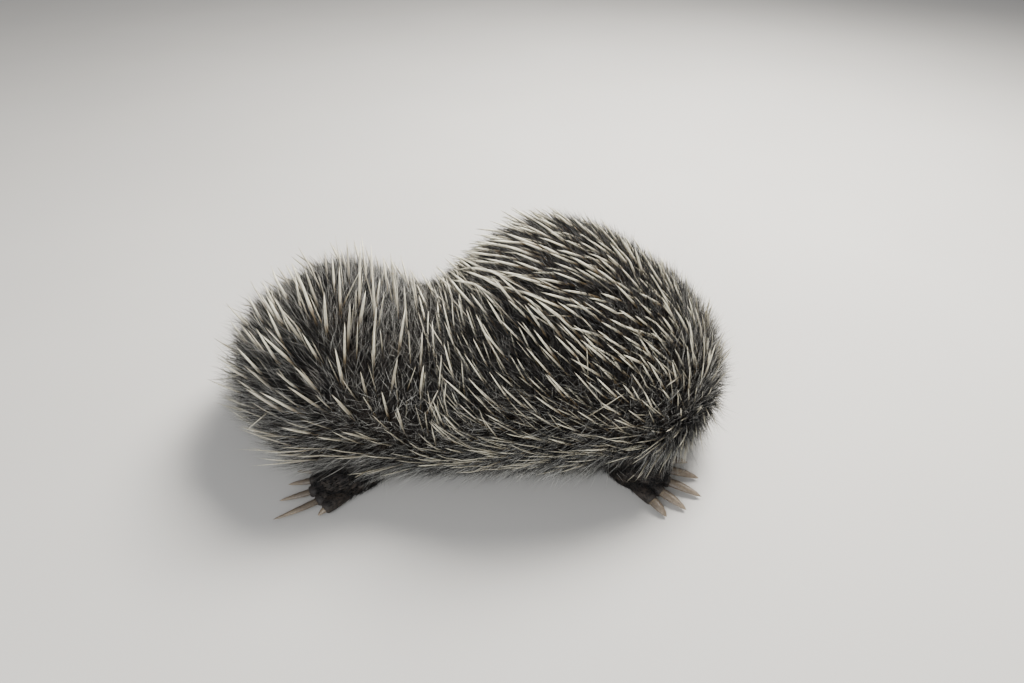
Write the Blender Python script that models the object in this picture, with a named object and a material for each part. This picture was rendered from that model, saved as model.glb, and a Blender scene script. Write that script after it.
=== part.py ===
"""A short-beaked echidna at life size, lying on its belly with its head turned to its left side.

The trunk runs along X with the shoulders at +X, the animal's right flank faces -Y, and +Z is up.
The origin is on the floor, on the flat of the belly. All sizes are in metres.
"""

import math
import random

import bmesh
import bpy
import numpy as np
from mathutils import Matrix, Vector
from mathutils.bvhtree import BVHTree

SEED = 11
GAP = 0.0003

# The trunk, from the rump to the chest, at the skin
REAR_X = -0.159
RUMP_X = -0.100
WAIST_X = -0.036
BACK_X = 0.045
SHOULDER_X = 0.100
FRONT_X = 0.164
RUMP_HEIGHT = 0.112
WAIST_HEIGHT = 0.099
BACK_HEIGHT = 0.141
SHOULDER_HEIGHT = 0.127
RUMP_HALF_WIDTH = 0.071
WAIST_HALF_WIDTH = 0.062
BACK_HALF_WIDTH = 0.083
RUMP_Y = -0.008
WAIST_Y = -0.014
FLOOR_SINK = 0.020
REAR_ROUNDING = 0.064
FRONT_ROUNDING = 0.096
END_FULLNESS = 2.5
TRUNK_SIDES = 30
TRUNK_RING_SPACING = 0.0105

# The neck, the head and the beak, by the distance along them
NECK_END = 0.066
BEAK_START = 0.122
BEAK_END = 0.175
TIP_ROUNDING = 0.006
HEAD_HALF_WIDTH = 0.031
HEAD_SIDES = 24
BEAK_SIDES = 16
HEAD_RING_SPACING = 0.0062
NECK_RING_SPACING = 0.010
BEAK_RING_SPACING = 0.0055

# The face
EYE_RADIUS = 0.0042
EYE_ALONG = 0.1035
EYE_ANGLE = 62
EYE_DEPTH = 0.5
LID_THICKNESS = 0.0016
EAR_ALONG = 0.080
EAR_ANGLE = 88
EAR_HEIGHT = 0.021
EAR_WIDTH = 0.011
EAR_THICKNESS = 0.0024
NOSTRIL_RADIUS = 0.0009
NOSTRIL_LENGTH = 0.0026
NOSTRIL_SETBACK = 0.0068
MOUTH_LENGTH = 0.014
MOUTH_HEIGHT = 0.0006
MOUTH_SETBACK = 0.0045
MOUTH_DROP = 0.0010

# The tail
TAIL_ROOT = Vector((-0.138, 0.026, 0.024))
TAIL_WAY = Vector((-0.72, 0.68, -0.12)).normalized()
TAIL_LENGTH = 0.046
TAIL_RADIUS = 0.0145

# Each limb: where it leaves the trunk, the middle of its foot, the way its toes point, and
# whether it is a hind limb
LIMBS = {
    "right_foreleg": ((0.094, -0.042, 0.034), (0.108, -0.066, 0.0), (0.90, -0.43, 0.0), False),
    "left_foreleg": ((0.036, 0.050, 0.038), (0.030, 0.084, 0.0), (0.12, 0.99, 0.0), False),
    "right_hindleg": ((-0.072, -0.044, 0.032), (-0.084, -0.0735, 0.0), (-0.91, -0.41, 0.0), True),
    "left_hindleg": ((-0.090, 0.040, 0.034), (-0.098, 0.074, 0.0), (-0.62, 0.78, 0.0), True),
}
FORE_LEG_RADII = (0.025, 0.0215, 0.0170, 0.0125)
HIND_LEG_RADII = (0.027, 0.0230, 0.0175, 0.0120)
FORE_FOOT = (0.018, 0.0165, 0.0125)
HIND_FOOT = (0.021, 0.0140, 0.0118)
ANKLE_SETBACK = 0.005
ANKLE_HEIGHT = 0.0065
TOE_RADIUS = 0.0042
TOE_SPREAD_FORE = 0.24
TOE_SPREAD_HIND = 0.20
FORE_CLAW_LENGTHS = (0.014, 0.020, 0.023, 0.020, 0.013)
HIND_CLAW_LENGTHS = (0.006, 0.030, 0.021, 0.016, 0.012)
CLAW_DROP = 0.6

# The spines
SPINE_LENGTH = 0.038
SPINE_RADIUS = 0.0019
SPINE_ROOT = 0.0085
SPINE_ROOT_SHARE = 0.62
SPINE_WIDEST_AT = 0.34
SPINE_SIDES = 3
SPINE_SPACING = 0.0128
SPINE_FLOOR_CLEARANCE = 0.0015
SPINE_CLEARANCE = 0.0006
TRUNK_SPINE_TRIES = 9000
HEAD_SPINE_TRIES = 1500
TAIL_SPINE_TRIES = 160
TRUNK_TILTS = (0.32, 0.42, 0.52, 0.64)
HEAD_TILTS = (0.40, 0.60, 0.80)
TAIL_TILT = 0.75

SHARP_ANGLE = 40

COLOURS = {
    "skin": ((0.052, 0.040, 0.032), 0.85),
    "spine": ((0.62, 0.53, 0.36), 0.45),
    "beak": ((0.060, 0.055, 0.055), 0.55),
    "eye": ((0.008, 0.007, 0.007), 0.08),
    "claw": ((0.125, 0.100, 0.075), 0.40),
}

# Along X: the middle's place across, the half height and the half width of the trunk's section
TRUNK_KNOTS = (REAR_X, RUMP_X, WAIST_X, BACK_X, SHOULDER_X, FRONT_X)
TRUNK_VALUES = (
    (0.006, RUMP_HEIGHT * 0.42, RUMP_HALF_WIDTH * 0.92),
    (RUMP_Y, (RUMP_HEIGHT + FLOOR_SINK) / 2, RUMP_HALF_WIDTH),
    (WAIST_Y, (WAIST_HEIGHT + FLOOR_SINK) / 2, WAIST_HALF_WIDTH),
    (0.000, (BACK_HEIGHT + FLOOR_SINK) / 2, BACK_HALF_WIDTH),
    (0.001, (SHOULDER_HEIGHT + FLOOR_SINK) / 2, BACK_HALF_WIDTH * 0.98),
    (-0.002, BACK_HEIGHT * 0.34, BACK_HALF_WIDTH * 0.86),
)

# Along the neck and head: the middle's place, the half width and the half height of the section
HEAD_KNOTS = (0.0, 0.036, 0.064, 0.084, 0.102, 0.118, 0.142, 0.164, BEAK_END)
HEAD_VALUES = (
    (0.0840, 0.026, 0.0500, 0.0560, 0.0520),
    (0.1050, 0.058, 0.0450, 0.0470, 0.0440),
    (0.1155, 0.084, 0.0400, 0.0370, 0.0350),
    (0.1170, 0.104, 0.0360, HEAD_HALF_WIDTH, 0.0295),
    (0.1140, 0.121, 0.0310, 0.0240, 0.0225),
    (0.1095, 0.135, 0.0255, 0.0150, 0.0155),
    (0.1000, 0.157, 0.0165, 0.0086, 0.0088),
    (0.0915, 0.177, 0.0085, 0.0060, 0.0062),
    (0.0870, 0.187, 0.0058, 0.0052, 0.0050),
)


def material(slot):
    """The material of one finish, made once."""
    found = bpy.data.materials.get(slot)
    if found:
        return found
    colour, roughness = COLOURS[slot]
    made = bpy.data.materials.new(slot)
    made.use_nodes = True
    shader = made.node_tree.nodes["Principled BSDF"]
    shader.inputs["Base Color"].default_value = (*colour, 1.0)
    shader.inputs["Roughness"].default_value = roughness
    return made


def add_object(name, mesh, slot):
    """A named object made from a bmesh, which is freed."""
    data = bpy.data.meshes.new(name)
    mesh.to_mesh(data)
    mesh.free()
    data.materials.append(material(slot))
    made = bpy.data.objects.new(name, data)
    bpy.context.scene.collection.objects.link(made)
    return made


def smooth_values(knots, values, at):
    """Values that pass smoothly through those given at the knots, one Hermite arc between two knots."""
    knots = np.asarray(knots, float)
    values = np.asarray(values, float)
    slopes = np.gradient(values, knots, axis=0)
    at = min(max(at, knots[0]), knots[-1])
    i = min(int(np.searchsorted(knots, at, side="right")) - 1, len(knots) - 2)
    span = knots[i + 1] - knots[i]
    t = (at - knots[i]) / span
    start = (2 * t**3 - 3 * t**2 + 1) * values[i] + (t**3 - 2 * t**2 + t) * span * slopes[i]
    end = (3 * t**2 - 2 * t**3) * values[i + 1] + (t**3 - t**2) * span * slopes[i + 1]
    return start + end


def step_between(value, low, high):
    """0 below low, 1 above high, and a smooth rise between them."""
    t = min(1.0, max(0.0, (value - low) / (high - low)))
    return t * t * (3 - 2 * t)


def bump(value, middle, spread):
    """1 at the middle, falling off to 0 on both sides."""
    return math.exp(-(((value - middle) / spread) ** 2))


def close_up(mesh):
    """Turns the faces of a closed bmesh outward and splits them into triangles."""
    bmesh.ops.recalc_face_normals(mesh, faces=mesh.faces)
    if mesh.calc_volume(signed=True) < 0:
        bmesh.ops.reverse_faces(mesh, faces=mesh.faces)
    bmesh.ops.triangulate(mesh, faces=mesh.faces, quad_method="FIXED")
    return mesh


def loft(rings):
    """A closed mesh through rings of points. An end of one point is a pole, and any other is capped flat."""
    mesh = bmesh.new()
    rows = [[mesh.verts.new(p) for p in ring] for ring in rings]
    for a, b in zip(rows, rows[1:]):
        count = max(len(a), len(b))
        for i in range(count):
            j = (i + 1) % count
            if len(a) == 1:
                mesh.faces.new((a[0], b[j], b[i]))
            elif len(b) == 1:
                mesh.faces.new((a[i], a[j], b[0]))
            else:
                mesh.faces.new((a[i], a[j], b[j], b[i]))
    for row in (rows[0], rows[-1]):
        if len(row) > 1:
            mesh.faces.new(row)
    return close_up(mesh)


def tube(points, radii, sides=10, flatten=1.0, floor=None):
    """A closed tube through points, with one radius at each. A radius of 0 draws it to a point."""
    rings = []
    for i, (p, r) in enumerate(zip(points, radii)):
        ahead = points[min(i + 1, len(points) - 1)] - points[max(i - 1, 0)]
        forward = ahead.normalized()
        left = Vector((0, 0, 1)).cross(forward).normalized()
        up = forward.cross(left)
        if r == 0:
            rings.append([p])
            continue
        ring = []
        for k in range(sides):
            a = 2 * math.pi * k / sides
            q = p + left * r * math.sin(a) + up * r * flatten * math.cos(a)
            if floor is not None:
                q.z = max(floor, q.z)
            ring.append(q)
        rings.append(ring)
    return loft(rings)


def ball(centre, radius, segments=14):
    mesh = bmesh.new()
    bmesh.ops.create_uvsphere(mesh, u_segments=segments, v_segments=segments // 2 + 2, radius=radius)
    bmesh.ops.translate(mesh, verts=mesh.verts, vec=centre)
    return close_up(mesh)


def evaluated_mesh(obj):
    """The mesh of an object with its modifiers applied."""
    bpy.context.view_layer.update()
    graph = bpy.context.evaluated_depsgraph_get()
    return bpy.data.meshes.new_from_object(obj.evaluated_get(graph))


def keep_largest(data):
    """Leaves only the largest closed surface of a mesh."""
    mesh = bmesh.new()
    mesh.from_mesh(data)
    left = set(mesh.verts)
    parts = []
    while left:
        stack = [left.pop()]
        part = set(stack)
        while stack:
            for edge in stack.pop().link_edges:
                for v in edge.verts:
                    if v not in part:
                        part.add(v)
                        left.discard(v)
                        stack.append(v)
        parts.append(part)
    parts.sort(key=len, reverse=True)
    for part in parts[1:]:
        bmesh.ops.delete(mesh, geom=list(part), context="VERTS")
    mesh.to_mesh(data)
    mesh.free()


def combine(base, meshes, operation, solver="EXACT"):
    """Joins meshes to the base object, or cuts them from it, by one Boolean on a collection."""
    if not meshes:
        return
    group = bpy.data.collections.new("pieces")
    for mesh in meshes:
        data = bpy.data.meshes.new("piece")
        mesh.to_mesh(data)
        mesh.free()
        group.objects.link(bpy.data.objects.new("piece", data))
    modifier = base.modifiers.new("combine", "BOOLEAN")
    modifier.operation = operation
    modifier.operand_type = "COLLECTION"
    modifier.collection = group
    modifier.solver = solver
    old = base.data
    made = evaluated_mesh(base)
    base.modifiers.remove(modifier)
    base.data = made
    bpy.data.meshes.remove(old)
    for piece in list(group.objects):
        data = piece.data
        bpy.data.objects.remove(piece)
        bpy.data.meshes.remove(data)
    bpy.data.collections.remove(group)
    keep_largest(base.data)


def trunk_section(x):
    """Across, up, half height and half width of the trunk's section at x."""
    across, half_height, half_width = smooth_values(TRUNK_KNOTS, TRUNK_VALUES, x)
    rear = min(1.0, max(0.0, (x - REAR_X) / REAR_ROUNDING))
    front = min(1.0, max(0.0, (FRONT_X - x) / FRONT_ROUNDING))
    rounding = ((1 - (1 - rear) ** END_FULLNESS) * (1 - (1 - front) ** END_FULLNESS)) ** (1 / END_FULLNESS)
    middle = half_height - FLOOR_SINK * min(rear * 2, front * 2, 1.0)
    return across, middle, half_height * rounding, half_width * rounding


def trunk_point(x, angle, grow=0.0, floor=0.0):
    """A point of the skin. The angle is 0 on top and a quarter turn on the far side, at +Y."""
    across, middle, half_height, half_width = trunk_section(x)
    side = math.copysign(abs(math.sin(angle)) ** 0.92, math.sin(angle))
    up = math.copysign(abs(math.cos(angle)) ** 0.96, math.cos(angle))
    y = across + (half_width + grow) * side
    z = middle + (half_height + grow) * up
    return Vector((x, y, max(floor, z)))


def trunk_normal(x, angle):
    """The way out of the skin at a point of the trunk."""
    step = 0.002
    turn = 0.04
    ahead = min(x + step, FRONT_X - step / 20)
    behind = max(x - step, REAR_X + step / 20)
    along = trunk_point(ahead, angle) - trunk_point(behind, angle)
    around = trunk_point(x, angle + turn) - trunk_point(x, angle - turn)
    return along.cross(around).normalized()


def trunk_places(x_start, x_end):
    """Places of the trunk's rings, set closer where an end rounds off."""
    count = max(3, round((x_end - x_start) / TRUNK_RING_SPACING))
    places = []
    for i in range(count + 1):
        t = i / count
        wave = math.sin(math.pi * t) / math.pi
        if x_start <= REAR_X:
            t -= 0.35 * wave
        if x_end >= FRONT_X:
            t += 0.45 * wave
        places.append(x_start + (x_end - x_start) * t)
    return places


def trunk_mesh(x_start, x_end, grow=0.0, floor=0.0):
    """The trunk between two places along X, as a closed mesh."""
    rings = []
    for x in trunk_places(x_start, x_end):
        if x - REAR_X < 1e-6 or FRONT_X - x < 1e-6:
            across, middle, _, _ = trunk_section(x)
            rings.append([Vector((x + math.copysign(grow, x), across, middle))])
            continue
        angles = [2 * math.pi * i / TRUNK_SIDES for i in range(TRUNK_SIDES)]
        rings.append([trunk_point(x, angle, grow, floor) for angle in angles])
    return loft(rings)


def head_frame(s):
    """Centre, forward, left and up directions, half width and half height of the head's section at s."""
    step = 0.002
    values = smooth_values(HEAD_KNOTS, HEAD_VALUES, s)
    ahead = smooth_values(HEAD_KNOTS, HEAD_VALUES, s + step)
    behind = smooth_values(HEAD_KNOTS, HEAD_VALUES, s - step)
    forward = Vector(ahead[:3] - behind[:3]).normalized()
    left = Vector((0, 0, 1)).cross(forward).normalized()
    up = forward.cross(left)
    shut = min(1.0, max(0.0, (BEAK_END - s) / TIP_ROUNDING))
    rounding = math.sqrt(1 - (1 - shut) ** 2)
    return Vector(values[:3]), forward, left, up, values[3] * rounding, values[4] * rounding


def head_point(s, angle, grow=0.0, floor=0.0):
    """A point of the head's skin. The angle is 0 on top and a quarter turn on the animal's left."""
    centre, _, left, up, half_width, half_height = head_frame(s)
    p = centre + left * (half_width + grow) * math.sin(angle) + up * (half_height + grow) * math.cos(angle)
    return Vector((p.x, p.y, max(floor, p.z)))


def head_mesh(s_start, s_end, spacing, sides, grow=0.0, floor=0.0):
    """The neck, head or beak between two distances along it, as a closed mesh."""
    count = max(3, round((s_end - s_start) / spacing))
    rings = []
    for i in range(count + 1):
        t = i / count
        if s_end >= BEAK_END:
            t += 0.4 * math.sin(math.pi * t) / math.pi
        s = s_start + (s_end - s_start) * t
        if BEAK_END - s < 1e-6:
            rings.append([head_frame(s)[0]])
            continue
        rings.append([head_point(s, 2 * math.pi * k / sides, grow, floor) for k in range(sides)])
    return loft(rings)


def eye_places():
    """Centre of each eye and the way it looks, the left one first."""
    places = []
    for side in (1, -1):
        _, forward, left, up, _, _ = head_frame(EYE_ALONG)
        surface = head_point(EYE_ALONG, side * math.radians(EYE_ANGLE))
        outward = (left * side * 0.80 + up * 0.42 + forward * 0.42).normalized()
        places.append((surface - outward * EYE_RADIUS * EYE_DEPTH, outward))
    return places


def lid_mesh(centre, outward):
    """A ring of skin round an eye, which stands for both lids."""
    side = outward.cross(Vector((0, 0, 1))).normalized()
    up = side.cross(outward)
    middle = centre + outward * EYE_RADIUS * 0.42
    count = 14
    section = 5
    mesh = bmesh.new()
    rows = []
    for i in range(count):
        a = 2 * math.pi * i / count
        ray = side * math.cos(a) + up * math.sin(a) * 0.86
        row = []
        for k in range(section):
            b = 2 * math.pi * k / section
            reach = EYE_RADIUS * 1.10 + LID_THICKNESS * math.cos(b)
            row.append(mesh.verts.new(middle + ray * reach + outward * LID_THICKNESS * math.sin(b)))
        rows.append(row)
    for i in range(count):
        a, b = rows[i], rows[(i + 1) % count]
        for k in range(section):
            m = (k + 1) % section
            mesh.faces.new((a[k], a[m], b[m], b[k]))
    return close_up(mesh)


def ear_mesh(side):
    """The rim of an ear: a curved fold of skin that stands behind the slit, open to the front."""
    half_width = head_frame(EAR_ALONG)[4]
    count = 9
    points = []
    radii = []
    for i in range(count):
        t = i / (count - 1)
        turn = math.radians(-115 + 230 * t)
        along = EAR_ALONG - EAR_WIDTH / 2 * math.cos(turn)
        rise = EAR_HEIGHT / 2 * math.sin(turn)
        p = head_point(along, side * (math.radians(EAR_ANGLE) - rise / half_width))
        outward = (p - head_frame(along)[0]).normalized()
        points.append(p + outward * EAR_THICKNESS / 3)
        radii.append(EAR_THICKNESS * (0.55 + 0.45 * math.sin(math.pi * t)))
    return tube(points, radii, sides=8)


def beak_cutters():
    """The line of the mouth and the two nostrils, as shapes to cut from the beak."""
    cutters = []
    for side in (1, -1):
        centre, forward, left, up, half_width, half_height = head_frame(BEAK_END - NOSTRIL_SETBACK)
        place = centre + up * half_height * 0.90 + left * side * half_width * 0.44
        ends = [place - forward * NOSTRIL_LENGTH / 2, place + forward * NOSTRIL_LENGTH / 2]
        cutters.append(tube(ends, [NOSTRIL_RADIUS] * 2, sides=8))
    tip, forward, left, up, _, _ = head_frame(BEAK_END - MOUTH_SETBACK)
    turn = Matrix((left, forward, up)).transposed().to_4x4()
    place = Matrix.Translation(tip - up * MOUTH_DROP + forward * MOUTH_SETBACK)
    size = Matrix.Diagonal((MOUTH_LENGTH, MOUTH_LENGTH, MOUTH_HEIGHT, 1.0))
    mouth = bmesh.new()
    bmesh.ops.create_cube(mouth, size=1.0, matrix=place @ turn @ size)
    cutters.append(close_up(mouth))
    return cutters


def tail_mesh():
    """The short stub of the tail, resting on the floor."""
    shares = (0.0, 0.3, 0.55, 0.75, 0.9, 1.0)
    radii = [TAIL_RADIUS * math.sqrt(1 - (0.92 * t) ** 2) for t in shares]
    points = [TAIL_ROOT + TAIL_WAY * TAIL_LENGTH * t for t in shares]
    for p, r in zip(points, radii):
        p.z = max(r * 0.9, p.z)
    return tube(points, radii, sides=14, flatten=0.9, floor=0.0)


def foot_parts(foot, way, hind):
    """The meshes of a foot and its toes, and the toes' ends with the ways that they point."""
    half_length, half_width, half_height = HIND_FOOT if hind else FORE_FOOT
    across = Vector((0, 0, 1)).cross(way).normalized()
    shares = (-1.0, -0.75, -0.2, 0.4, 0.8, 1.0)
    points = [foot + way * half_length * t + Vector((0, 0, half_height * 0.58)) for t in shares]
    radii = [max(0.25, math.sqrt(1 - t * t)) * half_width for t in shares]
    parts = [tube(points, radii, sides=10, flatten=half_height / half_width, floor=0.0)]
    ends = []
    for k in range(-2, 3):
        spread = k * (TOE_SPREAD_HIND if hind else TOE_SPREAD_FORE)
        toe_way = (way * math.cos(spread) + across * math.sin(spread)).normalized()
        start = foot + across * k * half_width * 0.40 + way * half_length * 0.25
        start.z = TOE_RADIUS * 1.05
        end = start + toe_way * half_length * (1.05 - 0.10 * abs(k))
        radii = [TOE_RADIUS * share for share in (0.9, 1.05, 0.85)]
        parts.append(tube([start, start.lerp(end, 0.75), end], radii, sides=7, flatten=0.95, floor=0.0))
        ends.append((end, toe_way))
    return parts, ends


def claw_mesh(end, way, length, hind):
    """One claw: a flattened blade that tapers to a point and dips to the floor."""
    shares = (0.0, 0.28, 0.56, 0.84, 1.0)
    widths = (0.68, 0.62, 0.48, 0.28, 0.0) if hind else (0.80, 0.88, 0.76, 0.48, 0.0)
    curl = 0.16 if hind else 0.04
    across = Vector((0, 0, 1)).cross(way).normalized()
    points = []
    for t in shares:
        p = end + way * (GAP + length * t) - across * curl * length * t * t
        p.z = end.z * (1 - CLAW_DROP * t * t)
        points.append(p)
    return tube(points, [TOE_RADIUS * w for w in widths], sides=8, flatten=0.62, floor=0.0)


def limb(name):
    """A leg with its foot and toes, and its five claws, by their names."""
    hip, foot, way, hind = LIMBS[name]
    hip, foot, way = Vector(hip), Vector(foot), Vector(way).normalized()
    parts, ends = foot_parts(foot, way, hind)
    ankle = foot - way * ANKLE_SETBACK + Vector((0, 0, ANKLE_HEIGHT))
    bulge = Vector((0, 0, ANKLE_HEIGHT))
    points = [hip, hip.lerp(ankle, 0.36) + bulge, hip.lerp(ankle, 0.72) + bulge, ankle]
    leg = tube(points, HIND_LEG_RADII if hind else FORE_LEG_RADII, sides=10, floor=0.0)
    made = {name: add_object(name, leg, "skin")}
    combine(made[name], parts, "UNION")
    lengths = HIND_CLAW_LENGTHS if hind else FORE_CLAW_LENGTHS
    inner_toe_last = name.startswith("left") != hind
    if inner_toe_last:
        lengths = tuple(reversed(lengths))
    for k, ((end, toe_way), length) in enumerate(zip(ends, lengths)):
        claw = f"{name.replace('leg', 'claw')}_{k + 1}"
        made[claw] = add_object(claw, claw_mesh(end, toe_way, length, hind), "claw")
    return made


def spine_mesh(root, direction, length, radius):
    """One spine: sunk in at its root, widest past its middle and drawn to a point."""
    left = direction.cross(Vector((0, 0, 1)))
    if left.length < 0.1:
        left = direction.cross(Vector((1, 0, 0)))
    left.normalize()
    up = left.cross(direction)
    rings = []
    for along, share in ((-SPINE_ROOT, SPINE_ROOT_SHARE), (length * SPINE_WIDEST_AT, 1.0)):
        ring = []
        for k in range(SPINE_SIDES):
            a = 2 * math.pi * k / SPINE_SIDES
            ring.append(root + direction * along + (left * math.cos(a) + up * math.sin(a)) * radius * share)
        rings.append(ring)
    rings.append([root + direction * length])
    return loft(rings)


def segment_distance(a, b, c, d):
    """Shortest distance between the segments ab and cd."""
    u, v, w = b - a, d - c, a - c
    uu, uv, vv, uw, vw = u.dot(u), u.dot(v), v.dot(v), u.dot(w), v.dot(w)
    spread = uu * vv - uv * uv
    s = min(1.0, max(0.0, (uv * vw - vv * uw) / spread)) if spread > 1e-12 else 0.0
    t = min(1.0, max(0.0, (uv * s + vw) / vv))
    s = min(1.0, max(0.0, (uv * t - uw) / uu))
    return (w + u * s - v * t).length


class Coat:
    """The spines set so far, with the solids that they grow from or keep clear of."""

    def __init__(self, bases):
        self.trees = {}
        self.spines = {name: [] for name in bases}
        self.meshes = {name: [] for name in bases}
        self.roots = []
        for name, obj in bases.items():
            mesh = bmesh.new()
            mesh.from_mesh(obj.data)
            self.trees[name] = BVHTree.FromBMesh(mesh)
            mesh.free()

    def distance(self, name, point):
        """Distance to the surface of the named solid, on either side of it."""
        return self.trees[name].find_nearest(point)[3]

    def inside(self, name, point):
        """Whether a point is in the named solid, told by how often a ray from it meets the surface."""
        ray = Vector((0.13, 0.09, 0.98)).normalized()
        hits = 0
        start = point
        while hits < 12:
            place = self.trees[name].ray_cast(start, ray)[0]
            if place is None:
                break
            hits += 1
            start = place + ray * 1e-6
        return hits % 2 == 1

    def crosses(self, name, start, end):
        """Whether the segment from start to end meets the named solid."""
        way = end - start
        return self.trees[name].ray_cast(start, way.normalized(), way.length)[0] is not None

    def crowded(self, root, spacing):
        return any((root - other).length < spacing for other in self.roots)

    def fits(self, node, foot, root, tip, radius):
        """Whether a spine is rooted in its own solid and clears the floor and everything of the others."""
        if min(tip.z, root.z) < radius + SPINE_FLOOR_CLEARANCE or foot.z < radius:
            return False
        if self.distance(node, foot) < radius * 0.7:
            return False
        if self.crosses(node, root.lerp(tip, 0.2), tip):
            return False
        length = (tip - foot).length
        steps = math.ceil(length / radius)
        along = [foot.lerp(tip, i / steps) for i in range(steps + 1)]
        for other in self.trees:
            if other == node or self.distance(other, along[steps // 2]) > length:
                continue
            if any(self.distance(other, p) < radius + SPINE_CLEARANCE for p in along):
                return False
            if self.crosses(other, foot, tip):
                return False
            for start, end, other_radius in self.spines[other]:
                if segment_distance(foot, tip, start, end) < radius + other_radius + SPINE_CLEARANCE:
                    return False
        return True

    def grow(self, nodes, root, direction, length, radius):
        """Sets one spine in the solid, of those named, that holds its sunken end, if it fits there."""
        foot = root - direction * SPINE_ROOT
        tip = root + direction * length
        node = next((name for name in nodes if self.inside(name, foot)), None)
        if node is None or not self.fits(node, foot, root, tip, radius):
            return False
        self.spines[node].append((foot, tip, radius))
        self.meshes[node].append(spine_mesh(root, direction, length, radius))
        self.roots.append(root)
        return True


def spine_direction(lie, normal, tilt, rng):
    """The lie raised off the skin by the tilt, with a little of each spine's own way."""
    wander = Vector((rng.gauss(0, 0.10), rng.gauss(0, 0.10), rng.gauss(0, 0.06)))
    return (lie * math.cos(tilt) + normal * math.sin(tilt) + wander).normalized()


def trunk_lie(point, normal):
    """The way the spines point: to the tail on the shoulders, and up to the midline on the rump."""
    rump = 1 - step_between(point.x, WAIST_X - 0.008, WAIST_X + 0.004)
    near_side = step_between(-point.y, -0.02, 0.02)
    roll = 0.55 * rump * near_side + 0.30 * (1 - rump)
    dorsal = Vector((0, math.sin(roll), math.cos(roll)))
    flank = 1.5 * bump(point.x, 0.012, 0.034) * bump(point.z, 0.088, 0.030)
    breast = 1.3 * step_between(point.x, 0.080, 0.135) * (1 - step_between(point.z, 0.050, 0.105))
    tailward = 0.55 - 0.85 * step_between(point.x, -0.115, WAIST_X)
    lie = (Vector((-1, 0, 0)) + dorsal * (0.32 + flank + breast)) * (1 - rump)
    lie += (Vector((-tailward, 0, 0)) + dorsal) * rump
    lie -= normal * lie.dot(normal)
    return lie.normalized()


def grow_trunk_spines(coat, rng):
    """Spines over the rump and the back, shorter and thinner low on the flanks."""
    for _ in range(TRUNK_SPINE_TRIES):
        x = rng.uniform(REAR_X + 0.002, FRONT_X - 0.002)
        angle = math.radians(rng.uniform(-118, 118))
        root = trunk_point(x, angle)
        if root.z < 0.020 or coat.crowded(root, SPINE_SPACING):
            continue
        normal = trunk_normal(x, angle)
        low = 1 - step_between(root.z, 0.025, 0.070)
        length = SPINE_LENGTH * rng.uniform(0.82, 1.12) * (1 - 0.35 * low)
        radius = SPINE_RADIUS * rng.uniform(0.85, 1.1) * (1 - 0.25 * low)
        lie = trunk_lie(root, normal)
        for tilt in TRUNK_TILTS:
            direction = spine_direction(lie, normal, tilt, rng)
            if coat.grow(("rump", "back"), root, direction, length, radius):
                break


def grow_head_spines(coat, rng):
    """Shorter spines over the neck and the crown, lying back from the face."""
    for _ in range(HEAD_SPINE_TRIES):
        s = rng.uniform(0.020, 0.096)
        angle = math.radians(rng.uniform(-105, 105))
        root = head_point(s, angle)
        if root.z < 0.016 or coat.crowded(root, SPINE_SPACING * 0.84):
            continue
        if coat.inside("back", root) or coat.distance("back", root) < 0.004:
            continue
        centre, forward, _, _, _, _ = head_frame(s)
        normal = (root - centre).normalized()
        lie = (normal * forward.dot(normal) - forward).normalized()
        crown = step_between(s, NECK_END, 0.096)
        length = SPINE_LENGTH * rng.uniform(0.80, 1.0) * (0.78 - 0.36 * crown)
        radius = SPINE_RADIUS * (0.92 - 0.30 * crown)
        for tilt in HEAD_TILTS:
            direction = spine_direction(lie, normal, tilt, rng)
            if coat.grow(("neck", "head"), root, direction, length, radius):
                break


def grow_tail_spines(coat, rng):
    """A few short spines round the upper side of the tail."""
    left = Vector((0, 0, 1)).cross(TAIL_WAY).normalized()
    up = TAIL_WAY.cross(left)
    for _ in range(TAIL_SPINE_TRIES):
        middle = TAIL_ROOT + TAIL_WAY * TAIL_LENGTH * rng.uniform(0.45, 0.92)
        angle = math.radians(rng.uniform(-80, 80))
        outside = middle + (left * math.sin(angle) + up * math.cos(angle)) * TAIL_RADIUS * 2
        root, normal, _, _ = coat.trees["tail"].find_nearest(outside)
        if coat.crowded(root, SPINE_SPACING * 0.55) or coat.distance("rump", root) < 0.003:
            continue
        direction = spine_direction(TAIL_WAY, normal, TAIL_TILT, rng)
        coat.grow(("tail",), root, direction, SPINE_LENGTH * rng.uniform(0.5, 0.7), SPINE_RADIUS * 0.8)


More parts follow.
